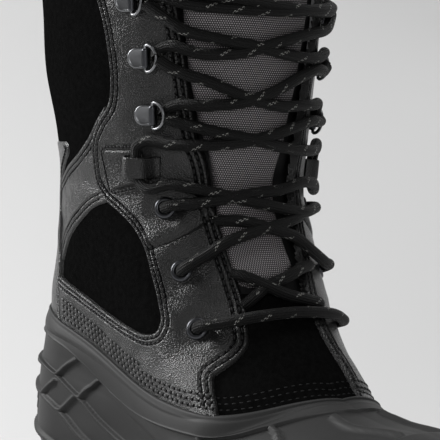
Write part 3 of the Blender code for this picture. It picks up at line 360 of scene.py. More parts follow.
def lathe(profile, steps, place, axes):
    """Ring turned about the surface's outward axis from radius and height."""
    turn = np.linspace(0, 2 * math.pi, steps, endpoint=False)
    radius, height = profile.T[:, :, None]
    ring = np.stack([radius * np.cos(turn), radius * np.sin(turn), np.repeat(height, steps, 1)], axis=-1)
    return place + ring @ axes, grid_faces(len(profile), steps, wrap=True)


# Materials
def colour(text):
    parts = [int(text[i:i + 2], 16) / 255 for i in (0, 2, 4)]
    return tuple(c / 12.92 if c <= 0.04045 else ((c + 0.055) / 1.055)**2.4 for c in parts) + (1.0,)


def shader_of(material):
    return material.node_tree.nodes["Principled BSDF"]


def make_material(name, tone, roughness, metallic=0.0, specular=0.5):
    material = bpy.data.materials.new(name)
    material.use_nodes = True
    material.diffuse_color = colour(tone)
    inputs = shader_of(material).inputs
    inputs["Base Color"].default_value = colour(tone)
    inputs["Roughness"].default_value = roughness
    inputs["Metallic"].default_value = metallic
    inputs["Specular IOR Level"].default_value = specular
    return material


def add_node(material, kind, **values):
    node = material.node_tree.nodes.new(kind)
    for key, value in values.items():
        if key in node.inputs:
            node.inputs[key].default_value = value
        else:
            setattr(node, key, value)
    return node


def join(material, start, end):
    material.node_tree.links.new(start, end)


def add_relief(material, height, strength, distance):
    bump = add_node(material, "ShaderNodeBump", Strength=strength, Distance=distance)
    join(material, height, bump.inputs["Height"])
    join(material, bump.outputs["Normal"], shader_of(material).inputs["Normal"])
    return material


def add_tones(material, dark, light, factor):
    """Base colour between two tones."""
    mix = add_node(material, "ShaderNodeMix", data_type="RGBA")
    mix.inputs["A"].default_value = colour(dark)
    mix.inputs["B"].default_value = colour(light)
    join(material, factor, mix.inputs["Factor"])
    join(material, mix.outputs["Result"], shader_of(material).inputs["Base Color"])


def grain(material, kind, scale, strength, distance):
    """Fine relief from cells or noise, fixed to the object."""
    if kind == "cell":
        texture = add_node(material, "ShaderNodeTexVoronoi", Scale=scale)
    else:
        texture = add_node(material, "ShaderNodeTexNoise", Scale=scale, Detail=3.0)
    join(material, add_node(material, "ShaderNodeTexCoord").outputs["Object"], texture.inputs["Vector"])
    return add_relief(material, texture.outputs["Distance" if kind == "cell" else "Fac"], strength, distance)


def vary(material, socket, scale, low, high):
    """Lets a socket wander between two values with the place."""
    texture = add_node(material, "ShaderNodeTexNoise", Scale=scale, Detail=4.0)
    spread = add_node(material, "ShaderNodeMapRange", **{"To Min": low, "To Max": high})
    join(material, add_node(material, "ShaderNodeTexCoord").outputs["Object"], texture.inputs["Vector"])
    join(material, texture.outputs["Fac"], spread.inputs["Value"])
    join(material, spread.outputs["Result"], shader_of(material).inputs[socket])
    return material


def maths_of(material):
    """Function that joins one or two values in a named operation."""
    def work(operation, *values):
        node = add_node(material, "ShaderNodeMath", operation=operation)
        for value, socket in zip(values, node.inputs):
            if isinstance(value, (int, float)):
                socket.default_value = value
            else:
                join(material, value, socket)
        return node.outputs[0]
    return work


def surface_measure(material):
    """The two measures stored on the surface."""
    split = add_node(material, "ShaderNodeSeparateXYZ")
    join(material, add_node(material, "ShaderNodeUVMap").outputs["UV"], split.inputs[0])
    return split.outputs[0], split.outputs[1]


# Weave: how much closer the threads across lie, and how far the rows outweigh the check
WEAVE_CLOSER = 1.8
WEAVE_ROWS = 0.6


def weave_material(name, dark, light, pitch):
    """Plain weave: threads over and under, on the surface's own measure; its colour runs from the dark tone
    in the hollows, painted shade, to the light tone on the thread tops, painted highlight.
    """
    material = make_material(name, light, 0.55, specular=0.4)
    work = maths_of(material)
    u, v = surface_measure(material)
    turns = 2 * math.pi / pitch
    across = work("SINE", work("MULTIPLY", u, turns * WEAVE_CLOSER))
    along = work("SINE", work("MULTIPLY", v, turns))
    check = work("MULTIPLY", work("MULTIPLY", across, along), 1 - WEAVE_ROWS)
    height = work("ADD", check, work("MULTIPLY", work("ABSOLUTE", along), WEAVE_ROWS))
    # Colour follows the thread height: painted shade in the hollows, painted highlight on the thread tops
    add_tones(material, dark, light, work("MULTIPLY", height, height))
    return add_relief(material, height, 0.8, 0.25 * MM)


# Cord: lengths after which braid, flecks and dashes repeat, and the share of each that shows
BRAID_TURN = 9.0 * MM
BRAID_STRANDS = 7
FLECK_TURN = 30.0 * MM
FLECK_EVERY = 12.5 * MM
FLECK_SHOWN = 0.42
FLECK_HALF = 0.026
DASH_EVERY = 1.9 * MM
DASH_SHOWN = 0.55
FLECK_ROWS = ((0.0, 0.0), (0.085, 0.5))


def cord_material(name, dark, light):
    """Braid with a short light fleck pair now and then, on the cord's own measure."""
    material = make_material(name, dark, 0.62, specular=0.3)
    work = maths_of(material)
    length, turn = surface_measure(material)
    slant = work("MULTIPLY", length, 1 / BRAID_TURN)
    strands = [work("SINE", work("MULTIPLY", work(way, slant, turn), 2 * math.pi * BRAID_STRANDS))
               for way in ("ADD", "SUBTRACT")]
    add_relief(material, work("MULTIPLY", *strands), 0.9, 0.5 * MM)
    helix = work("ADD", work("MULTIPLY", length, 1 / FLECK_TURN), turn)
    shown = work("LESS_THAN", work("FRACT", work("MULTIPLY", length, 1 / FLECK_EVERY)), FLECK_SHOWN)
    flecks = []
    for shift, lead in FLECK_ROWS:
        near = work("FRACT", work("ADD", work("MULTIPLY", helix, 2.0), 0.5 + shift))
        wide = work("LESS_THAN", work("ABSOLUTE", work("SUBTRACT", near, 0.5)), FLECK_HALF)
        part = work("FRACT", work("ADD", work("MULTIPLY", length, 1 / DASH_EVERY), lead))
        dash = work("LESS_THAN", part, DASH_SHOWN)
        flecks.append(work("MULTIPLY", work("MULTIPLY", wide, dash), shown))
    add_tones(material, dark, light, work("MAXIMUM", *flecks))
    return material


RUBBER_MAT = grain(make_material("rubber", "242424", 0.58, specular=0.30), "noise", 2600, 0.25, 0.1 * MM)
LEATHER_MAT = grain(make_material("black_leather", "060606", 0.34), "cell", 1500, 1.0, 0.24 * MM)
vary(LEATHER_MAT, "Roughness", 160, 0.24, 0.40)
SUEDE_MAT = grain(make_material("black_suede", "0B0B0B", 1.0, specular=0.0), "noise", 2200, 0.8, 0.3 * MM)
vary(SUEDE_MAT, "Base Color", 420, 0.002, 0.008)
# Tongue nylon: a real weave pattern whose near-black and pale grey tones are painted shade in the hollows and
# painted highlight on the thread tops
NYLON_MAT = weave_material("tongue_nylon", "030303", "C6C0C3", 2.1 * MM)
FELT_MAT = grain(make_material("insole_felt", "6F706E", 0.95, specular=0.1), "noise", 1500, 0.8, 0.4 * MM)
BINDING_MAT = grain(make_material("binding", "121213", 0.7, specular=0.3), "noise", 2000, 0.5, 0.2 * MM)
METAL_MAT = vary(make_material("gunmetal", "77787A", 0.3, metallic=1.0), "Roughness", 900, 0.26, 0.42)
DARK_METAL_MAT = make_material("dark_eyelet", "4A4B4E", 0.30, metallic=1.0)
CORD_MAT = cord_material("lace_cord", "0D0D0D", "A2A29E")
THREAD_MAT = make_material("thread", "121213", 0.55, specular=0.25)
PALE_THREAD_MAT = make_material("pale_thread", "1E1E1E", 0.45)
# Near-black blobs at each stitch hole: painted shade in the needle holes
HOLE_SHADE_MAT = make_material("stitch_hole_shade", "020202", 0.9, specular=0.1)
LINING_MAT = grain(make_material("lining", "2A2A2B", 0.9, specular=0.15), "noise", 1500, 0.7, 0.3 * MM)


# Lines of the outer side as share and row; the inner side mirrors all but the front line
PANEL_FOOT = 6.92
HEEL_END = 0.715
HEEL_TOP = 8.32
ANKLE_START = 0.40
FRONT_LINE = smooth_line([(0.232, 14.0), (0.208, 12.8), (0.192, 12.2), (0.183, 11.7), (0.175, 11.3),
                          (0.167, 10.9), (0.150, 10.6), (0.133, 9.9), (0.125, 9.6), (0.109, 8.9),
                          (0.108, 8.5), (0.115, 8.2), (0.126, 7.97), (0.150, 7.80), (0.180, 7.68),
                          (0.204, 7.58), (0.210, 7.42), (0.211, 7.2), (0.212, PANEL_FOOT)])
INNER_FRONT_LINE = smooth_line([(0.205, 14.0), (0.172, 13.1), (0.146, 12.3), (0.132, 11.7), (0.124, 11.1),
                                (0.116, 10.6), (0.105, 9.9), (0.088, 9.4), (0.066, 8.95), (0.050, 8.5),
                                (0.047, 8.1), (0.053, 7.6), (0.057, 7.2), (0.060, 6.8), (0.063, 6.35)])
BACK_LINE = smooth_line([(0.440, 14.0), (0.410, 13.2), (0.378, 12.4), (0.372, 11.9), (0.385, 11.5),
                         (0.425, 11.18), (0.452, 10.9), (0.462, 10.4), (0.455, 10.05), (0.430, 9.85),
                         (0.385, 9.70), (0.345, 9.55), (0.318, 9.35), (0.303, 9.0), (0.297, 8.6),
                         (0.300, 8.36), (0.316, 8.20), (0.345, 8.12), (0.42, 8.08), (0.50, 8.10),
                         (0.60, 8.18), (HEEL_END, HEEL_TOP)])


def mirrored(line, side):
    return line * (side, 1)


def other_half(line):
    """The same line run back on the other side of the heel."""
    return line[::-1] * (-1, 1) + (2, 0)


def quarter_outline(front):
    start, low = front[-1]
    bottom = np.linspace(start, HEEL_END, 200)
    bottom = np.stack([bottom, np.interp(bottom, [start, 0.25], [low, PANEL_FOOT])], axis=1)
    heel = np.linspace((HEEL_END, PANEL_FOOT), (HEEL_END, HEEL_TOP), 30)
    top = np.linspace((0.440, COLLAR_ROW), (front[0, 0], COLLAR_ROW), 60)
    return np.concatenate([front, bottom[1:], heel[1:], BACK_LINE[::-1][1:], top[1:-1]])


ANKLE_LOW = smooth_line([(ANKLE_START, 9.86), (0.435, 9.80), (0.480, 9.72), (0.540, 9.54),
                         (0.600, 9.32), (0.650, 9.07), (0.685, 8.80), (HEEL_END, 8.50)])
ANKLE_HIGH = smooth_line([(HEEL_END, 9.98), (0.650, 10.18), (0.600, 10.36), (0.540, 10.56), (0.480, 10.86),
                          (0.435, 11.20), (ANKLE_START, 11.45)])


def ankle_outline():
    left = np.linspace(ANKLE_HIGH[-1], ANKLE_LOW[0], 20)
    right = np.linspace(ANKLE_LOW[-1], ANKLE_HIGH[0], 20)
    return np.concatenate([ANKLE_LOW, right[1:-1], ANKLE_HIGH, left[1:-1]])


STAY_LINE = smooth_line([(0.705, PANEL_FOOT), (0.705, 7.8), (0.704, 8.6), (0.700, 9.3), (0.690, 9.8),
                         (0.658, 10.2), (0.615, 10.45), (0.588, 10.62), (0.588, 10.74), (0.603, 10.80)])


def stay_outline():
    other = other_half(STAY_LINE)
    top = np.linspace(STAY_LINE[-1], other[0], 150)
    bottom = np.linspace(other[-1], STAY_LINE[0], 120)
    return np.concatenate([STAY_LINE, top[1:-1], other, bottom[1:-1]])


SEAM_LINE = smooth_line([(0.312, 9.30), (0.262, 9.40), (0.217, 9.50), (0.150, 9.70), (0.126, 9.78)])


# Stitch rows: distances beside a panel's edge, in millimetres
WINDOW_ROWS = (2.6, 5.0)
THROAT_ROWS_IN = (2.6, 5.8)
BACK_ROWS = (2.2, 4.8)
STAY_ROW = 2.4
PATCH_ROW = 1.7
RIM_FIRST = 3.4
RIM_STEP = 3.2
RIM_ROWS = 4
RIM_PITCH = 3.7

# Where they run: rows along the throat, the first share over the ankle, the height on the back stay
THROAT_SEWN = (7.15, 13.9)
ANKLE_SEWN = 0.455
STAY_SEWN = 1.2 * MM

# Threads, how far they sink in, and the near-black blobs between them that paint the shade in the needle
# holes
THREAD_HALF = 0.5 * MM
THREAD_SINK = 0.2 * MM
SUEDE_SINK = 0.3 * MM
HOLE_SHADE_HALF = 0.55 * MM
HOLE_SHADE_HEIGHT = 0.14 * MM
HOLE_SHADE_OUT = 0.12 * MM
HOLE_SHADE_SPREAD = 0.62

# Kinds of row: groove depth and half width, stitch pitch and width, in millimetres
THROAT_STITCH = (0.95, 0.70, 3.6, 1.2)
BACK_STITCH = (0.85, 0.60, 2.8, 1.1)
ANKLE_STITCH = (0.65, 0.60, 2.3, 0.9)
STAY_STITCH = (0.80, 0.60, 2.8, 1.1)
PATCH_STITCH = (0.70, 0.60, 2.2, 0.9)

stitches = []
pale_stitches = []
hole_shades = []


def stitch_row(line, out, pitch, length=0.66, width=0.9, slant=0.0, kept=stitches):
    """Adds threads along a line, each between two dark blobs that paint the shade in the needle holes."""
    line = even(line, pitch * MM)
    places = surf(line[:, 0], line[:, 1], out)
    normals = unit(surf(line[:, 0], line[:, 1], out + MM) - places)
    width = width * MM
    for start, end, normal in zip(places[:-1], places[1:], normals):
        size = np.linalg.norm(end - start)
        ahead = (end - start) / size
        side = np.cross(normal, ahead)
        if slant:
            ahead = ahead * math.cos(slant) + side * math.sin(slant)
            side = np.cross(normal, ahead)
        half = size * length / 2 + 0.25 * MM
        kept.append(((start + end) / 2, ahead * half, side * width / 2, normal * THREAD_HALF))
        # Dark blob at the hole: painted shade in the needle hole
        hole_shades.append((start + normal * HOLE_SHADE_OUT, ahead * HOLE_SHADE_HALF, side * width * HOLE_SHADE_SPREAD,
                      normal * HOLE_SHADE_HEIGHT))


def sew(rows, kind, side, out, start=0.0):
    """Stitches rows from a share on, and gives the grooves in which the rows lie."""
    depth, half, pitch, width = kind
    for row in rows:
        stitch_row(mirrored(row[row[:, 0] > start], side), out, pitch, width=width)
    return [(row, depth, half) for row in rows]


def blobs(name, items, material, rings=4, around=8):
    """One piece of small rounded bars, each from its centre and three half axes."""
    polar = np.linspace(0, math.pi, rings + 2)
    turn = np.linspace(0, 2 * math.pi, around, endpoint=False)
    r = np.sin(polar)[:, None]**0.7
    ball = np.stack([side_by_side(np.cos(polar), around), r * np.cos(turn), r * np.sin(turn)], axis=-1)
    ball = ball.reshape(-1, 3)
    items = np.array(items)
    points = items[:, :1] + np.einsum("pk,nkd->npd", ball, items[:, 1:])
    faces = grid_faces(rings + 2, around, wrap=True) + (np.arange(len(items)) * len(ball))[:, None, None]
    make_piece(name, points, faces.reshape(-1, 4), material)


# Creases: points on the outer side, half width and depth in millimetres
CREASES = [
    ([(0.540, 10.36), (0.533, 10.18), (0.538, 9.96)], 1.3, 0.16),
    ([(0.590, 10.15), (0.578, 9.98), (0.584, 9.76)], 1.2, 0.16),
    ([(0.640, 9.92), (0.632, 9.70), (0.640, 9.50)], 1.3, 0.16),
    ([(0.30, 8.9), (0.26, 8.75), (0.22, 8.72)], 4.0, 0.30),
    ([(0.24, 7.9), (0.30, 7.85), (0.38, 7.8)], 6.0, 0.30),
]


def crease_height(points, side):
    total = np.zeros(points.shape[:-1])
    for line, half, depth in CREASES:
        far = distance_to(points, mirrored(smooth_line(line, 0.0015), side))
        half = half * MM
        total += depth * MM * (0.25 * bell(far - 2.2 * half, half) - bell(far, half))
    return total


CELL = 0.55 * MM
WIDE_CELL = 0.72 * MM
EDGE_STEP = 0.3 * MM
SKIRT = 1.3 * MM
SKIRT_SLOPE = 1.6
SKIRT_DEPTH = 1.6 * MM


def overlay(name, outline, side, thick, rows, replaced, puff=0.12, base=0.0, radius=1.1, extra=None,
            cell=CELL):
    """Leather laid over the upper: rounded at its outline, grooved under its stitch rows."""
    low = outline.min(axis=0)
    high = outline.max(axis=0)
    shares = np.linspace(low[0], min(high[0], 1.0), 9)[:, None] * side
    size = np.array([scale.mean() for scale in scales(shares, np.linspace(low[1], high[1], 9))])
    cells = ((high - low) * size / cell).astype(int)
    pad = SKIRT / size
    shares, levels = [np.linspace(low[k] - pad[k], high[k] + pad[k], cells[k]) for k in (0, 1)]
    a, v = np.meshgrid(shares, np.clip(levels, 0, COLLAR_ROW))
    flat = surf(a * side, v)
    edge = even(np.concatenate([outline, outline[:1]]), EDGE_STEP, closed=True)
    far = distance_to(flat, mirrored(edge, side))
    signed = np.where(inside(a, v, outline), far, -far)
    thick = thick(v) if callable(thick) else thick
    height = base + thick * dome(signed / (radius * MM))
    height = np.where(signed < 0, base + np.maximum(signed * SKIRT_SLOPE, -SKIRT_DEPTH), height)
    solid = smooth(signed, 0.6 * MM, 2.0 * MM)
    for line, depth, half in rows:
        near = distance_to(flat, mirrored(line, side))
        half = half * MM
        height -= depth * MM * bell(near, half) * solid
        height += puff * MM * bell(near - 1.5 * half, half) * solid
    if extra is not None:
        height += extra(flat, a, v) * solid
    shown = signed > -SKIRT
    keep = shown[:-1, :-1] & shown[1:, :-1] & shown[:-1, 1:] & shown[1:, 1:]
    used, faces = np.unique(grid_faces(len(levels), len(shares), keep)[:, ::side], return_inverse=True)
    points = surf(a * side, v, height).reshape(-1, 3)[used]
    make_piece(name + "_leather", points, faces.reshape(-1, 4), LEATHER_MAT, replaced)


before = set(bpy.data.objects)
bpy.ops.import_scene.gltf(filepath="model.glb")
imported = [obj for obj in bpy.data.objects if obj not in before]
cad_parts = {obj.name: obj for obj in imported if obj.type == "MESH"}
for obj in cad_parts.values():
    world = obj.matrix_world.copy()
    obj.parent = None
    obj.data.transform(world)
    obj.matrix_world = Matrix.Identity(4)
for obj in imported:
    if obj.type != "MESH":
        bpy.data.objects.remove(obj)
start_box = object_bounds()


# Rubber shell: its side lines as rows by share, then the ribs that join them
LINE_PLACES = [0.00, 0.05, 0.10, 0.15, 0.20, 0.24, 0.30, 0.36, 0.43, 0.50, 0.557, 0.583, 0.645, 0.69, 0.76,
               0.85, 1.00]
RIM_LINE = [6.55, 6.62, 6.72, 6.82, 6.94, 7.05, 7.13, 7.15, 7.16, 7.18, 7.21, 7.23, 7.27, 7.31, 7.42,
            7.45, 7.42]
BAND_EDGE = [5.72, 5.72, 5.82, 5.90, 5.98, 6.18, 6.29, 6.20, 6.00, 5.82, 5.84, 6.05, 6.43, 6.60, 6.70,
             6.74, 6.74]
RIB_PLACES = [0.00, 0.13, 0.25, 0.33, 0.45, 0.52, 0.59, 0.627, 0.665, 0.693, 0.715, 0.742, 0.838, 0.90, 1.00]
LONG_RIBS = [
    [3.00, 2.80, 2.45, 2.35, 2.25, 2.25, 2.35, 2.55, 3.00, 3.62, 4.02, 4.62, 5.02, 5.15, 5.20],
    [2.05, 1.95, 1.70, 1.55, 1.45, 1.45, 1.50, 1.62, 1.85, 2.08, 2.30, 2.68, 3.60, 3.75, 3.85],
    [1.00, 0.95, 0.85, 0.80, 0.75, 0.75, 0.75, 0.78, 0.88, 1.00, 1.20, 1.50, 2.10, 2.35, 2.45],
]
CROSS_RIBS = [
    [(0.88, 6.75), (0.895, 5.9), (0.905, 5.15)],
    [(0.645, 6.42), (0.690, 5.55), (0.734, 4.60)],
    [(0.576, 6.02), (0.643, 4.60), (0.690, 3.70)],
    [(0.752, 4.05), (0.790, 3.45), (0.800, 3.30)],
    [(0.706, 3.62), (0.735, 3.15), (0.757, 2.82)],
    [(0.255, 6.25), (0.262, 5.6), (0.285, 4.4), (0.300, 2.45)],
    [(0.137, 5.95), (0.137, 5.60), (0.148, 5.2), (0.165, 4.2), (0.190, 2.65)],
    [(0.60, 2.40), (0.63, 2.0), (0.65, 1.72)],
    [(0.42, 2.30), (0.43, 1.9), (0.44, 1.45)],
    [(0.24, 2.50), (0.25, 2.1), (0.26, 1.70)],
    [(0.86, 3.62), (0.87, 3.0), (0.88, 2.25)],
]
TOE_RIDGE = [(0.050, 5.55), (0.054, 5.15), (0.050, 4.75), (0.039, 4.35), (0.035, 4.12)]
TOE_CAP = -207 * MM
SHELL_ROWS = 200
SHELL_COLUMNS = 460
SHELL_INNER = np.array([0.97, 0.9, 0.8, 0.6, 0.4, 0.2, 0.0])


def build_shell():
    """Moulded cup with its band, ribs, toe ridge and thinned lip, and the inner face behind."""
    half = np.linspace(0, 1, SHELL_COLUMNS // 2 + 1)
    shares = np.concatenate([-half[:0:-1], half[:-1]])
    place = np.abs(shares)
    rim = hermite(place, LINE_PLACES, RIM_LINE)
    levels = np.linspace(0, 1, SHELL_ROWS)[:, None]
    a, v = np.broadcast_arrays(shares, levels * rim)
    da, dv = scales(a, v)
    flat = surf(a, v)

    def above(places, line):
        """Distance in metres above a line given as rows by share."""
        middle = hermite(place, places, line)
        slope = np.gradient(middle) / np.gradient(shares) * dv / da
        return (v - middle) * dv / np.sqrt(1 + slope**2)

    def beside_both(line):
        return [distance_to(flat, mirrored(smooth_line(line), side)) for side in SIDES.values()]

    band = above(LINE_PLACES, BAND_EDGE)
    out = SHELL_GAP + RUBBER + BAND_OUT * smooth(band, -0.35 * MM, 0.35 * MM)
    out += 0.35 * MM * bell(band - 0.5 * MM, 0.45 * MM)
    relief = np.zeros(a.shape)
    for line in LONG_RIBS:
        far = np.abs(above(RIB_PLACES, line))
        relief = np.maximum(relief, 1 - smooth(far, 0.9 * MM, 1.9 * MM))
    for line in CROSS_RIBS:
        for far in beside_both(line):
            relief = np.maximum(relief, 1 - smooth(far, 0.7 * MM, 1.6 * MM))
    below = smooth(-band, -0.2 * MM, 0.6 * MM)
    out += RIB_HEIGHT * relief * below
    for far in beside_both(TOE_RIDGE):
        out = np.maximum(out, SHELL_GAP + RUBBER + RIDGE_HEIGHT * (1 - smooth(far, 0.8 * MM, 3.4 * MM)))
    out += CAP_HEIGHT * smooth(TOE_CAP - flat[..., 1], -1.0 * MM, 2.5 * MM) * smooth(v, 3.1, 3.6)
    lip = (rim - v) * dv
    out -= LIP_TAPER * (1 - smooth(lip, 0.5 * MM, 8.0 * MM))
    out -= 0.45 * MM * (1 - smooth(lip, 0.0, 0.8 * MM))
    out -= 0.30 * MM * bell(lip - 2.0 * MM, 0.45 * MM)
    out += 0.10 * MM * bump_noise(flat, 18 * MM, 21) * below
    points = surf(a, v, out)
    floor = points[:1] - (0, 0, SHELL_BOTTOM)
    edge = surf(shares, rim, SHELL_GAP + 0.7 * MM) + (0, 0, 0.25 * MM)
    inner = surf(shares, SHELL_INNER[:, None] * rim, SHELL_GAP)
    grid = np.concatenate([floor, points, edge[None], inner])
    faces = grid_faces(len(grid), len(shares), wrap=True)
    make_piece("rubber_shell", grid, faces, RUBBER_MAT, ["shell"])


UPPER_LOW = 6.5
UPPER_LOW_ROWS = 40
UPPER_HIGH_ROWS = 90
UPPER_SIDE_COLUMNS = 132
UPPER_FRONT_CELLS = 14


def build_upper():
    """Wall of the upper, open at the collar and down the throat, and its lining."""
    vamp = UPPER_LOW_ROWS - 1
    levels = np.concatenate([np.linspace(UPPER_LOW, VAMP_TOP, UPPER_LOW_ROWS),
                             np.linspace(VAMP_TOP, COLLAR_ROW, UPPER_HIGH_ROWS)[1:]])
    half = throat_half(levels)[:, None] + 0.004
    front = half * np.linspace(-1, 1, UPPER_FRONT_CELLS + 1)[:-1]
    side = half + (1 - half) * np.linspace(0, 1, UPPER_SIDE_COLUMNS)
    a = np.concatenate([front, side, 2 - side[:, -2:0:-1]], axis=1)
    a = np.where(a > 1, a - 2, a)
    rows, columns = a.shape
    v = side_by_side(levels, columns)
    uneven = 0.25 * MM * bump_noise(surf(a, v), 30 * MM, 3) * smooth(v, 7.4, 8.5)
    outer = surf(a, v, uneven)
    inner = surf(a, v, uneven - LEATHER)
    keep = np.ones((rows - 1, columns), dtype=bool)
    keep[vamp:, :UPPER_FRONT_CELLS] = False
    faces = grid_faces(rows, columns, keep, wrap=True)

    def across(start, end):
        """Quads from the outer face to the inner one."""
        return np.stack([start, end, end + a.size, start + a.size], axis=1)

    top = (rows - 1) * columns + np.arange(UPPER_FRONT_CELLS, columns)
    up = np.arange(vamp, rows - 1) * columns
    low = vamp * columns + np.arange(UPPER_FRONT_CELLS)
    faces = [faces, across(top, np.append(top[1:], (rows - 1) * columns)),
             across(up + UPPER_FRONT_CELLS, up + UPPER_FRONT_CELLS + columns),
             across(up, up + columns)[:, ::-1],
             across(low, low + 1)]
    make_piece("suede_upper", [outer, inner], np.concatenate(faces), SUEDE_MAT, ["upper"])
    make_piece("lining", inner, faces[0][:, ::-1], LINING_MAT)


def quarter_relief(side):
    """Creases, dents round the eyelets, and the step at the seam."""
    def relief(points, a, v):
        total = crease_height(points, side)
        for row, share in EYELETS.values():
            far = np.linalg.norm(points - surf(share * side, row), axis=-1)
            total -= 0.9 * MM * (1 - smooth(far, 5.2 * MM, 13.0 * MM))
        seam = distance_to(points, mirrored(SEAM_LINE, side))
        above = v > np.interp(a, SEAM_LINE[::-1, 0], SEAM_LINE[::-1, 1])
        reach = smooth(a, 0.115, 0.135) * (1 - smooth(a, 0.300, 0.316))
        rise = np.where(above, 1 - smooth(seam, 4 * MM, 14 * MM), 0) * 0.7 * MM
        total += reach * (rise - 1.1 * MM * bell(seam, 1.3 * MM))
        return total + 0.18 * MM * bump_noise(points, 16 * MM, 5)
    return relief


def stay_thickness(v):
    return OVERLAY_TOP + 0.3 * MM - 1.5 * MM * smooth(v, 9.4, 10.5)


def build_leather():
    """Quarters, ankle panels and back stay, with their stitches."""
    top = OVERLAY_TOP - THREAD_SINK
    for name, side in SIDES.items():
        front = FRONT_LINE if side < 0 else INNER_FRONT_LINE
        throat = front[(front[:, 1] >= THROAT_SEWN[0]) & (front[:, 1] <= THROAT_SEWN[1])]
        grooves = sew([beside(throat, d * MM) for d in THROAT_ROWS_IN], THROAT_STITCH, side, top)
        grooves += sew([beside(BACK_LINE, -d * MM) for d in BACK_ROWS], BACK_STITCH, side, top)
        overlay("quarter_" + name, quarter_outline(front), side, OVERLAY_TOP, grooves,
                ["quarter_" + name, "rim_strip_" + name], puff=0.15, extra=quarter_relief(side),
                cell=CELL if side < 0 else WIDE_CELL)
        rows = [beside(line, d * MM) for line in (ANKLE_LOW, ANKLE_HIGH) for d in WINDOW_ROWS]
        grooves = sew(rows, ANKLE_STITCH, side, ANKLE_TOP - THREAD_SINK, start=ANKLE_SEWN)
        overlay("ankle_panel_" + name, ankle_outline(), side, ANKLE_TOP, grooves, ["ankle_panel_" + name],
                extra=lambda p, a, v, s=side: crease_height(p, s) + 0.2 * MM * bump_noise(p, 12 * MM, 8))
    rows = [beside(line, -STAY_ROW * MM) for line in (STAY_LINE, other_half(STAY_LINE))]
    grooves = sew(rows, STAY_STITCH, 1, STAY_SEWN)
    overlay("back_stay", stay_outline(), -1, stay_thickness, grooves, ["back_stay"],
            extra=lambda p, a, v: 0.2 * MM * bump_noise(p, 14 * MM, 9), cell=WIDE_CELL)


build_shell()
build_upper()
build_leather()


def build_binding():
    """Folded strip over the collar, from one throat edge round to the other."""
    half = float(throat_half(COLLAR_ROW))
    shares = np.linspace(half, 2 - half, 320)
    middle = -LEATHER / 2
    reach = LEATHER / 2 + BINDING
    turn = np.linspace(0, math.pi, 13)
    profile = [(reach, -7.0 * MM), (reach, -4.0 * MM), *zip(reach * np.cos(turn), reach * np.sin(turn)),
               (-reach, -4.0 * MM), (-reach, -7.0 * MM)]
    slope = surf(shares, COLLAR_ROW) - surf(shares, COLLAR_ROW - 0.8)
    slope /= slope[:, 2:]
    up = np.array([0, 0, 1.0])
    grid = np.array([surf(shares, COLLAR_ROW, middle + out) + (slope if rise < 0 else up) * rise
                     for out, rise in profile])
    grid[[0, -1]] = (grid[[0, -1]] + grid[[-1, 0]] * 0.12) / 1.12
    make_piece("collar_fold", grid, grid_faces(len(grid), len(shares))[:, ::-1], BINDING_MAT,
               ["collar_binding"])
    row = np.linspace((half, COLLAR_ROW - 0.28), (2 - half, COLLAR_ROW - 0.28), len(shares))
    stitch_row(row, 1.9 * MM, 3.0)


# Tongue: fabric pad between two edges, black gusset beyond it
PAD_ROWS = [8.4, 9.0, 9.5, 10.2, 10.7, 11.0, 11.6, 12.2, 13.0, 14.0, 14.6]
PAD_LEFT = -np.array([0.088, 0.114, 0.124, 0.128, 0.142, 0.158, 0.176, 0.190, 0.205, 0.220, 0.222])
PAD_RIGHT = [0.050, 0.048, 0.038, 0.038, 0.048, 0.058, 0.074, 0.086, 0.098, 0.110, 0.112]
PAD_BOTTOM = 8.93
PAD_MIDDLE = -0.055
PAD_CURVE = 24.0
TONGUE_TOP = 10.0 * MM
TONGUE_WING = 0.05
TONGUE_ROWS = (8.35, 14.6)
LIFT_ROWS = 0.6


def tongue_place(a, v, out):
    """Points on the tongue, carried straight on above the collar."""
    over = np.clip(v - COLLAR_ROW, 0, None)
    lift = unit(surf(a, COLLAR_ROW, out) - surf(a, COLLAR_ROW - LIFT_ROWS, out))
    return surf(a, np.minimum(v, COLLAR_ROW), out) + lift * over[..., None] * TONGUE_TOP / LIFT_ROWS


def sheet_uv(points):
    """A sheet's own measure in metres: across from its middle column, and up along it."""
    middle = points.shape[1] // 2
    steps = np.linalg.norm(np.diff(points, axis=1, prepend=points[:, :1]), axis=-1)
    across = np.cumsum(steps, axis=1)
    across -= across[:, middle][:, None]
    return np.stack([across, side_by_side(reach_of(points[:, middle]), points.shape[1])], axis=-1)


def build_tongue():
    """Black gusset, fabric pad on it and the back, each a sheet of its own."""
    levels = np.linspace(*TONGUE_ROWS, 240)
    left = hermite(levels, PAD_ROWS, PAD_LEFT)[:, None]
    right = hermite(levels, PAD_ROWS, PAD_RIGHT)[:, None]
    half = (throat_half(np.minimum(levels, COLLAR_ROW)) + TONGUE_WING)[:, None]
    for name, material, columns in (("tongue_gusset", BINDING_MAT, 80), ("tongue_fabric", NYLON_MAT, 170)):
        t = np.linspace(0, 1, columns)
        pad = material is NYLON_MAT
        a = left + (right - left) * t if pad else -half + 2 * half * t
        v = side_by_side(levels, columns)
        low = np.minimum(v, COLLAR_ROW)
        roll = 0.5 * MM * bump_noise(surf(a, low), 26 * MM, 12)
        closing = smooth(v, 14.35, 14.6) * MM
        if pad:
            da, dv = scales(a, low)
            bottom = PAD_BOTTOM + PAD_CURVE * (a - PAD_MIDDLE)**2 * (v < 9.6)
            inward = np.minimum(np.minimum(a - left, right - a) * da, (v - bottom) * dv)
            out = -3.9 * MM + 6.1 * MM * dome(inward / (4.5 * MM)) + roll - closing * 2.5
        else:
            out = -3.6 * MM - 1.2 * MM * smooth(np.abs(a) / half, 0.75, 0.95) + roll * 0.6 - closing
        points = tongue_place(a, v, out)
        make_piece(name, points, grid_faces(len(levels), columns), material, ["tongue"],
                   uv=sheet_uv(points))
    columns = 36
    points = tongue_place(half * np.linspace(-1, 1, columns), side_by_side(levels, columns), -5.6 * MM)
    make_piece("tongue_back", points, grid_faces(len(levels), columns)[:, ::-1], LINING_MAT)


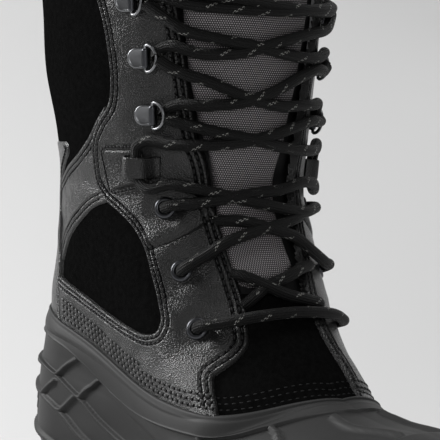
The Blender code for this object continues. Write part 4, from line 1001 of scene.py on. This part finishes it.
# Metal: the eyelet's radius and height, the plate's inset and height, all in millimetres
EYELET_PROFILE = np.array([(3.1, -4.0), (3.1, 0.6), (3.35, 1.05), (3.9, 1.25), (4.6, 1.15), (5.2, 0.75),
                           (5.5, 0.0), (5.5, -0.8)])
PLATE_PROFILE = ((0.0, -0.5), (0.0, 0.7), (0.25, 1.1), (0.7, 1.25), (1.1, 1.15), (1.35, 0.9), (1.6, 0.85),
                 (4.2, 0.85))
PLATE_CORNER = 5.0 * MM
PLATE_LENGTH = 9.5 * MM
BARREL_RADIUS = 2.0
RING_TILT = math.radians(24)
RING_HALF = 6.4 * MM
RING_BOW = 6.8 * MM
RING_WIRE = 0.85 * MM


def build_metal():
    for side_name, side in SIDES.items():
        for level, (v, share) in EYELETS.items():
            name = "eyelet_" + side_name + "_" + level
            place, axes = frame_at(side * share, v, OVERLAY_TOP - 0.6 * MM)
            points, faces = lathe(EYELET_PROFILE * MM, 40, place, axes)
            make_piece(name + "_ring", points, faces, DARK_METAL_MAT, [name])
        for level, (v, share) in RINGS.items():
            build_plate(side_name + "_" + level, *frame_at(side * share, v, OVERLAY_TOP))


def build_plate(tag, place, axes):
    """Rounded plate with its barrel, and the wire ring that hangs in it."""
    turn = np.linspace(-math.pi / 2, math.pi / 2, 25)
    bend = np.column_stack([1 - np.cos(turn), np.sin(turn)]) * PLATE_CORNER - (PLATE_LENGTH, 0)
    outline = np.array([(0.5 * MM, -PLATE_CORNER), *bend, (0.5 * MM, PLATE_CORNER)])
    centre = np.array([0.8 * MM - PLATE_CORNER, 0])
    size = np.linalg.norm(outline - centre, axis=1, keepdims=True)
    rows = []
    for inset, height in PLATE_PROFILE:
        ring = centre + (outline - centre) * np.clip(size - inset * MM, 0.0, None) / size
        rows.append(np.column_stack([ring, np.full(len(ring), height * MM)]))
    rows.append(rows[-1] * (0.002, 0.002, 1) + np.array([centre[0], 0, 0]) * 0.998)
    faces = grid_faces(len(rows), len(outline), wrap=True)[:, ::-1]
    name = "ring_plate_" + tag
    make_piece(name + "_fine", np.array(rows) @ axes + place, faces, METAL_MAT, [name], sharp=40)
    bar = np.linspace((0.9, -5.2, 1.7), (0.9, 5.2, 1.7), 14) * MM
    radius = np.array([0.3] + [BARREL_RADIUS] * 12 + [0.3]) * MM
    points, faces, _ = tube(bar @ axes + place, radius, 20)
    make_piece(name + "_barrel", points, faces, DARK_METAL_MAT, [name])
    turn = np.linspace(0, math.pi, 40)
    bow = zip(2.2 * MM + RING_BOW * np.sin(turn), -RING_HALF * np.cos(turn))
    x, y = np.array([(0.9 * MM, RING_HALF * 0.72), (0.9 * MM, 0.0), (0.9 * MM, -RING_HALF * 0.72),
                     (1.1 * MM, -RING_HALF * 0.93), *bow, (1.1 * MM, RING_HALF * 0.93)]).T
    path = np.column_stack([x * math.cos(RING_TILT) + 0.2 * MM, y, 1.9 * MM + x * math.sin(RING_TILT)])
    points, faces, _ = tube(path @ axes + place, RING_WIRE, 12, closed=True)
    make_piece("d_ring_" + tag + "_fine", points, faces, METAL_MAT, ["d_ring_" + tag])


# Keeper: its patch as share and row, its place, and the loop's length and height in millimetres
PATCH = [(0.392, 9.98), (0.410, 10.68), (0.322, 10.70), (0.305, 10.12)]
KEEPER_SHARE = 0.300
KEEPER_ROW = 10.40
LOOP_PROFILE = [(-11.0, 0.2), (-9.4, 1.6), (-8.2, 4.4), (-6.6, 7.3), (-4.0, 8.6), (0.0, 8.4), (3.2, 7.9),
                (5.0, 6.4), (6.6, 3.6), (8.2, 1.4), (10.0, 0.2)]
LOOP_HALF = 5.0 * MM
LOOP_THICK = 1.5 * MM


def build_keepers():
    """Patch and arched loop on each side."""
    outline = np.concatenate([np.linspace(s, e, 24)[:-1] for s, e in zip(PATCH, PATCH[1:] + PATCH[:1])])
    outline = (np.roll(outline, 2, axis=0) + np.roll(outline, -2, axis=0) + 2 * outline) / 4
    inner = beside(outline, -PATCH_ROW * MM)
    inner = np.concatenate([inner, inner[:1]])
    x, z = hermite(np.linspace(0, 10, 61), np.arange(11.0), LOOP_PROFILE).T * MM
    w = np.linspace(-1, 1, 15)[:, None]
    loop = np.stack(np.broadcast_arrays(x, w * LOOP_HALF, z + 0.3 * MM * np.sqrt(1 - w**8)), axis=-1)
    loop = np.concatenate([loop, loop[::-1] - (0, 0, LOOP_THICK), loop[:1]])
    for name, side in SIDES.items():
        grooves = sew([inner], PATCH_STITCH, side, OVERLAY_TOP + PATCH_TOP - THREAD_SINK)
        overlay("keeper_patch_" + name, outline[::-1], side, PATCH_TOP, grooves, ["keeper_patch_" + name],
                puff=0.1, base=OVERLAY_TOP, radius=0.8)
        place, axes = frame_at(side * KEEPER_SHARE, KEEPER_ROW, OVERLAY_TOP)
        make_piece("keeper_loop_" + name + "_leather", loop @ axes + place, grid_faces(len(loop), len(x)),
                   LEATHER_MAT, ["keeper_loop_" + name])


# Lace strands as (share, row, lift in millimetres)
LACE_RUNS = {
    "lace_bar": [
        [(-0.216, 8.3, -2.0), (-0.213, 8.3, 3.0), (-0.2, 8.3, 6.0), (-0.17, 8.3, 6.0), (-0.1, 8.34, 5.4),
         (0.0, 8.4, 5.2), (0.1, 8.34, 5.4), (0.17, 8.3, 6.0), (0.2, 8.3, 6.0), (0.213, 8.3, 3.0),
         (0.216, 8.3, -2.0)],
    ],
    "lace_cross_1": [
        [(-0.125, 8.58, -3.5), (-0.1, 8.64, 1.0), (-0.05, 8.86, 4.0), (0.0, 9.00, 5.0), (0.05, 9.1, 4.6),
         (0.1, 9.14, 2.0), (0.135, 9.14, -3.0)],
        [(0.125, 8.58, -3.5), (0.094, 8.6, 1.0), (0.04, 8.62, 3.6), (-0.02, 8.72, 4.9), (-0.06, 8.88, 4.6),
         (-0.098, 9.04, 2.0), (-0.135, 9.08, -3.0)],
    ],
    "lace_cross_2": [
        [(-0.226, 9.1, -2.0), (-0.223, 9.1, 3.0), (-0.21, 9.12, 6.0), (-0.17, 9.24, 6.0),
         (-0.12, 9.4, 5.4), (-0.05, 9.54, 5.2), (0.03, 9.64, 5.0), (0.085, 9.7, 4.0), (0.118, 9.72, 1.6),
         (0.15, 9.73, -3.0)],
        [(0.226, 9.1, -2.0), (0.223, 9.1, 3.0), (0.21, 9.11, 6.0), (0.17, 9.14, 6.0), (0.11, 9.28, 5.4),
         (0.05, 9.48, 5.2), (-0.02, 9.6, 5.0), (-0.08, 9.67, 4.0), (-0.118, 9.68, 1.6), (-0.15, 9.7, -3.0)],
        [(-0.248, 9.8, -2.0), (-0.245, 9.8, 3.0), (-0.232, 9.81, 6.0), (-0.19, 9.84, 6.0),
         (-0.13, 9.9, 5.4), (-0.05, 10.02, 5.2), (0.03, 10.1, 5.2), (0.11, 10.2, 5.8), (0.2, 10.16, 6.9),
         (0.278, 10.05, 7.2), (0.299, 10.2, 6.8), (0.3, 10.4, 6.7), (0.3, 10.62, 6.9), (0.298, 10.78, 7.2),
         (0.286, 10.86, 7.0), (0.2, 10.8, 6.2), (0.1, 10.8, 5.4), (0.03, 10.86, 5.2), (-0.03, 10.95, 5.2),
         (-0.12, 11.06, 5.4), (-0.18, 11.16, 5.8), (-0.217, 11.24, 6.4), (-0.232, 11.3, 7.4)],
        [(0.248, 9.8, -2.0), (0.245, 9.8, 3.0), (0.232, 9.79, 6.0), (0.19, 9.78, 6.0), (0.1, 9.76, 5.4),
         (0.0, 9.87, 5.2), (-0.08, 9.95, 5.2), (-0.16, 10.06, 6.0), (-0.22, 10.12, 6.9),
         (-0.28, 10.05, 7.2), (-0.299, 10.2, 6.8), (-0.3, 10.4, 6.7), (-0.3, 10.62, 6.9),
         (-0.298, 10.78, 7.2), (-0.286, 10.86, 7.0), (-0.22, 10.84, 6.2), (-0.15, 10.85, 5.6),
         (-0.07, 10.92, 5.2), (0.0, 11.06, 5.2), (0.08, 11.22, 5.2), (0.15, 11.3, 5.6),
         (0.212, 11.28, 6.2), (0.232, 11.3, 7.4)],
    ],
    "lace_cross_4": [
        [(-0.232, 11.3, 7.4), (-0.234, 11.36, 3.6), (-0.222, 11.44, 4.4), (-0.14, 11.5, 5.6),
         (-0.07, 11.58, 5.2), (-0.01, 11.76, 5.2), (0.06, 12.00, 5.2), (0.14, 12.14, 5.6),
         (0.222, 12.14, 6.4), (0.24, 12.2, 7.4)],
        [(0.232, 11.3, 7.4), (0.234, 11.38, 3.6), (0.222, 11.5, 4.4), (0.12, 11.56, 5.4),
         (0.0, 11.56, 5.2), (-0.08, 11.7, 5.2), (-0.13, 11.86, 5.4), (-0.19, 12.00, 5.8),
         (-0.226, 12.12, 6.6), (-0.242, 12.2, 7.4)],
    ],
    "lace_cross_5": [
        [(-0.242, 12.2, 7.4), (-0.246, 12.3, 3.6), (-0.232, 12.36, 4.6), (-0.15, 12.28, 5.6),
         (-0.08, 12.32, 5.2), (0.0, 12.5, 5.2), (0.08, 12.62, 5.2), (0.16, 12.7, 5.6), (0.24, 12.86, 6.2),
         (0.27, 12.98, 7.2)],
        [(0.24, 12.2, 7.4), (0.244, 12.3, 3.6), (0.23, 12.36, 4.6), (0.13, 12.3, 5.4), (0.03, 12.32, 5.2),
         (-0.05, 12.42, 5.2), (-0.13, 12.5, 5.4), (-0.19, 12.6, 5.8), (-0.245, 12.84, 6.4),
         (-0.272, 12.98, 7.4)],
    ],
    "lace_cross_6": [
        [(-0.272, 12.98, 7.4), (-0.276, 13.08, 3.6), (-0.262, 13.1, 4.8), (-0.18, 12.96, 5.8),
         (-0.1, 12.92, 5.2), (0.0, 12.94, 5.2), (0.1, 12.98, 5.4), (0.18, 13.04, 5.8), (0.254, 13.1, 6.0),
         (0.28, 13.16, 4.0)],
        [(0.272, 12.98, 7.4), (0.276, 13.00, 3.6), (0.262, 13.02, 4.8), (0.17, 12.98, 5.8),
         (0.08, 12.96, 5.2), (0.0, 13.00, 5.2), (-0.1, 13.08, 5.4), (-0.18, 13.14, 5.8),
         (-0.254, 13.22, 6.0), (-0.28, 13.26, 4.0)],
    ],
}
# Solids that a run takes the place of, where they aren't the one of its own name
LACE_NODES = {"lace_cross_2": ["lace_cross_2", "lace_cross_3"]}


def build_laces():
    for name, runs in LACE_RUNS.items():
        for k, run in enumerate(runs):
            share, row, lift = np.array(run).T
            places = surf(share, row, lift * MM)
            knots = reach_of(places)
            path = hermite(np.arange(0, knots[-1], 1.0 * MM), knots, places)
            points, faces, uv = tube(path, LACE_RADIUS, 20)
            make_piece(name + "_strand_" + str(k + 1), points, faces, CORD_MAT,
                       LACE_NODES.get(name, [name]), uv=uv)


def build_threads():
    """Rows along the shell's rim, then every stitch so far with the dark blobs between, painted shade of the
    needle holes.
    """
    for k in range(RIM_ROWS):
        last = k == RIM_ROWS - 1
        shares = np.linspace(0.40 if last else 0.0, 0.702, 200)
        rim = np.stack([shares, hermite(shares, LINE_PLACES, RIM_LINE)], axis=1)
        row = beside(rim, (RIM_FIRST + RIM_STEP * k) * MM)
        for side in SIDES.values():
            leather = row[:, 0] > (0.214 if side < 0 else 0.064)
            stitch_row(mirrored(row[leather], side), OVERLAY_TOP, RIM_PITCH, width=1.5, slant=side * 0.25,
                       kept=pale_stitches)
            if not last:
                stitch_row(mirrored(row[~leather], side), -SUEDE_SINK, RIM_PITCH, length=0.5)
    blobs("threads", stitches, THREAD_MAT)
    blobs("rim_threads", pale_stitches, PALE_THREAD_MAT)
    blobs("thread_hole_shades", hole_shades, HOLE_SHADE_MAT, rings=2, around=6)


build_binding()
build_tongue()
build_metal()
build_keepers()
build_laces()
build_threads()

for node, material in (("outsole", RUBBER_MAT), ("insole", FELT_MAT)):
    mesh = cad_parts[node].data
    mesh.materials.clear()
    mesh.materials.append(material)


# Floor, backdrop, light and camera
SWEEP_START = 0.40
SWEEP_RADIUS = 1.5
SWEEP_HEADING = math.radians(35)
STAGE_HALF = 5.0


def see_through_back(material):
    """Lets the back of a face show what lies behind it."""
    mix = add_node(material, "ShaderNodeMixShader")
    join(material, add_node(material, "ShaderNodeNewGeometry").outputs["Backfacing"], mix.inputs[0])
    join(material, shader_of(material).outputs[0], mix.inputs[1])
    join(material, add_node(material, "ShaderNodeBsdfTransparent").outputs[0], mix.inputs[2])
    join(material, mix.outputs[0], material.node_tree.nodes["Material Output"].inputs["Surface"])


def add_stage():
    """Pale floor, and behind the boot a sweep that shows from its front alone."""
    turn = np.linspace(0, math.pi / 2, 40)
    sweep = np.column_stack([np.sin(turn), 1 - np.cos(turn)]) * SWEEP_RADIUS + (SWEEP_START, 0.5 * MM)
    for name, line in (("floor", [(-4.0, 0.0), (SWEEP_START, 0.0), (4.0, -0.001)]), ("sweep", sweep)):
        points = [(x * math.cos(SWEEP_HEADING) + d * math.sin(SWEEP_HEADING),
                   d * math.cos(SWEEP_HEADING) - x * math.sin(SWEEP_HEADING), z)
                  for x in (-STAGE_HALF, STAGE_HALF) for d, z in line]
        count = len(line)
        mesh = bpy.data.meshes.new(name)
        mesh.from_pydata(points, [], [(i, count + i, count + i + 1, i + 1) for i in range(count - 1)])
        mesh.shade_smooth()
        mesh.materials.append(make_material(name, "D4D4D4", 0.9, specular=0.1))
        if name == "sweep":
            see_through_back(mesh.materials[0])
        item = bpy.data.objects.new(name, mesh)
        bpy.context.scene.collection.objects.link(item)
        item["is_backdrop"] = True


def aim(item, place, heading):
    item.location = place
    item.rotation_mode = "QUATERNION"
    item.rotation_quaternion = heading.to_track_quat("-Z", "Y")
    bpy.context.scene.collection.objects.link(item)


def add_light(name, place, target, width, tall, power):
    data = bpy.data.lights.new(name, "AREA")
    data.shape = "RECTANGLE"
    data.size = width
    data.size_y = tall
    data.energy = power
    aim(bpy.data.objects.new(name, data), place, Vector(target) - Vector(place))


add_stage()
world = bpy.data.worlds.new("studio")
world.use_nodes = True
background = world.node_tree.nodes["Background"].inputs
background["Color"].default_value = (1, 1, 1, 1)
background["Strength"].default_value = 0.14
bpy.context.scene.world = world
add_light("key", (-1.05, 1.22, 1.05), (-0.03, 0.0, 0.15), 0.6, 0.7, 36)
add_light("front", (-1.5, -1.7, 0.7), (0, -0.05, 0.15), 0.8, 0.8, 9)
add_light("edge", (1.2, 0.7, 0.5), (0, -0.03, 0.2), 0.4, 1.2, 1.2)
add_light("top", (0.1, -0.1, 2.0), (0.1, 0.1, 0.2), 1.2, 1.2, 19)

CAMERA_TARGET = Vector((-0.0013, -0.060, 0.1752))
CAMERA_AZIMUTH = math.radians(-35)
CAMERA_ELEVATION = math.radians(0.57)
CAMERA_DISTANCE = 1.060
back = Vector((math.sin(CAMERA_AZIMUTH) * math.cos(CAMERA_ELEVATION),
               -math.cos(CAMERA_AZIMUTH) * math.cos(CAMERA_ELEVATION), math.sin(CAMERA_ELEVATION)))
camera_data = bpy.data.cameras.new("camera")
camera_data.lens = 174.8
camera_data.sensor_width = 36.0
camera_data.clip_start = 0.05
camera_data.clip_end = 50.0
camera = bpy.data.objects.new("camera", camera_data)
aim(camera, CAMERA_TARGET + back * CAMERA_DISTANCE, -back)
bpy.context.scene.camera = camera
bpy.context.scene.view_settings.view_transform = "Standard"

end_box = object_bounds()
[[list(corner) for corner in box] for box in (start_box, end_box)]
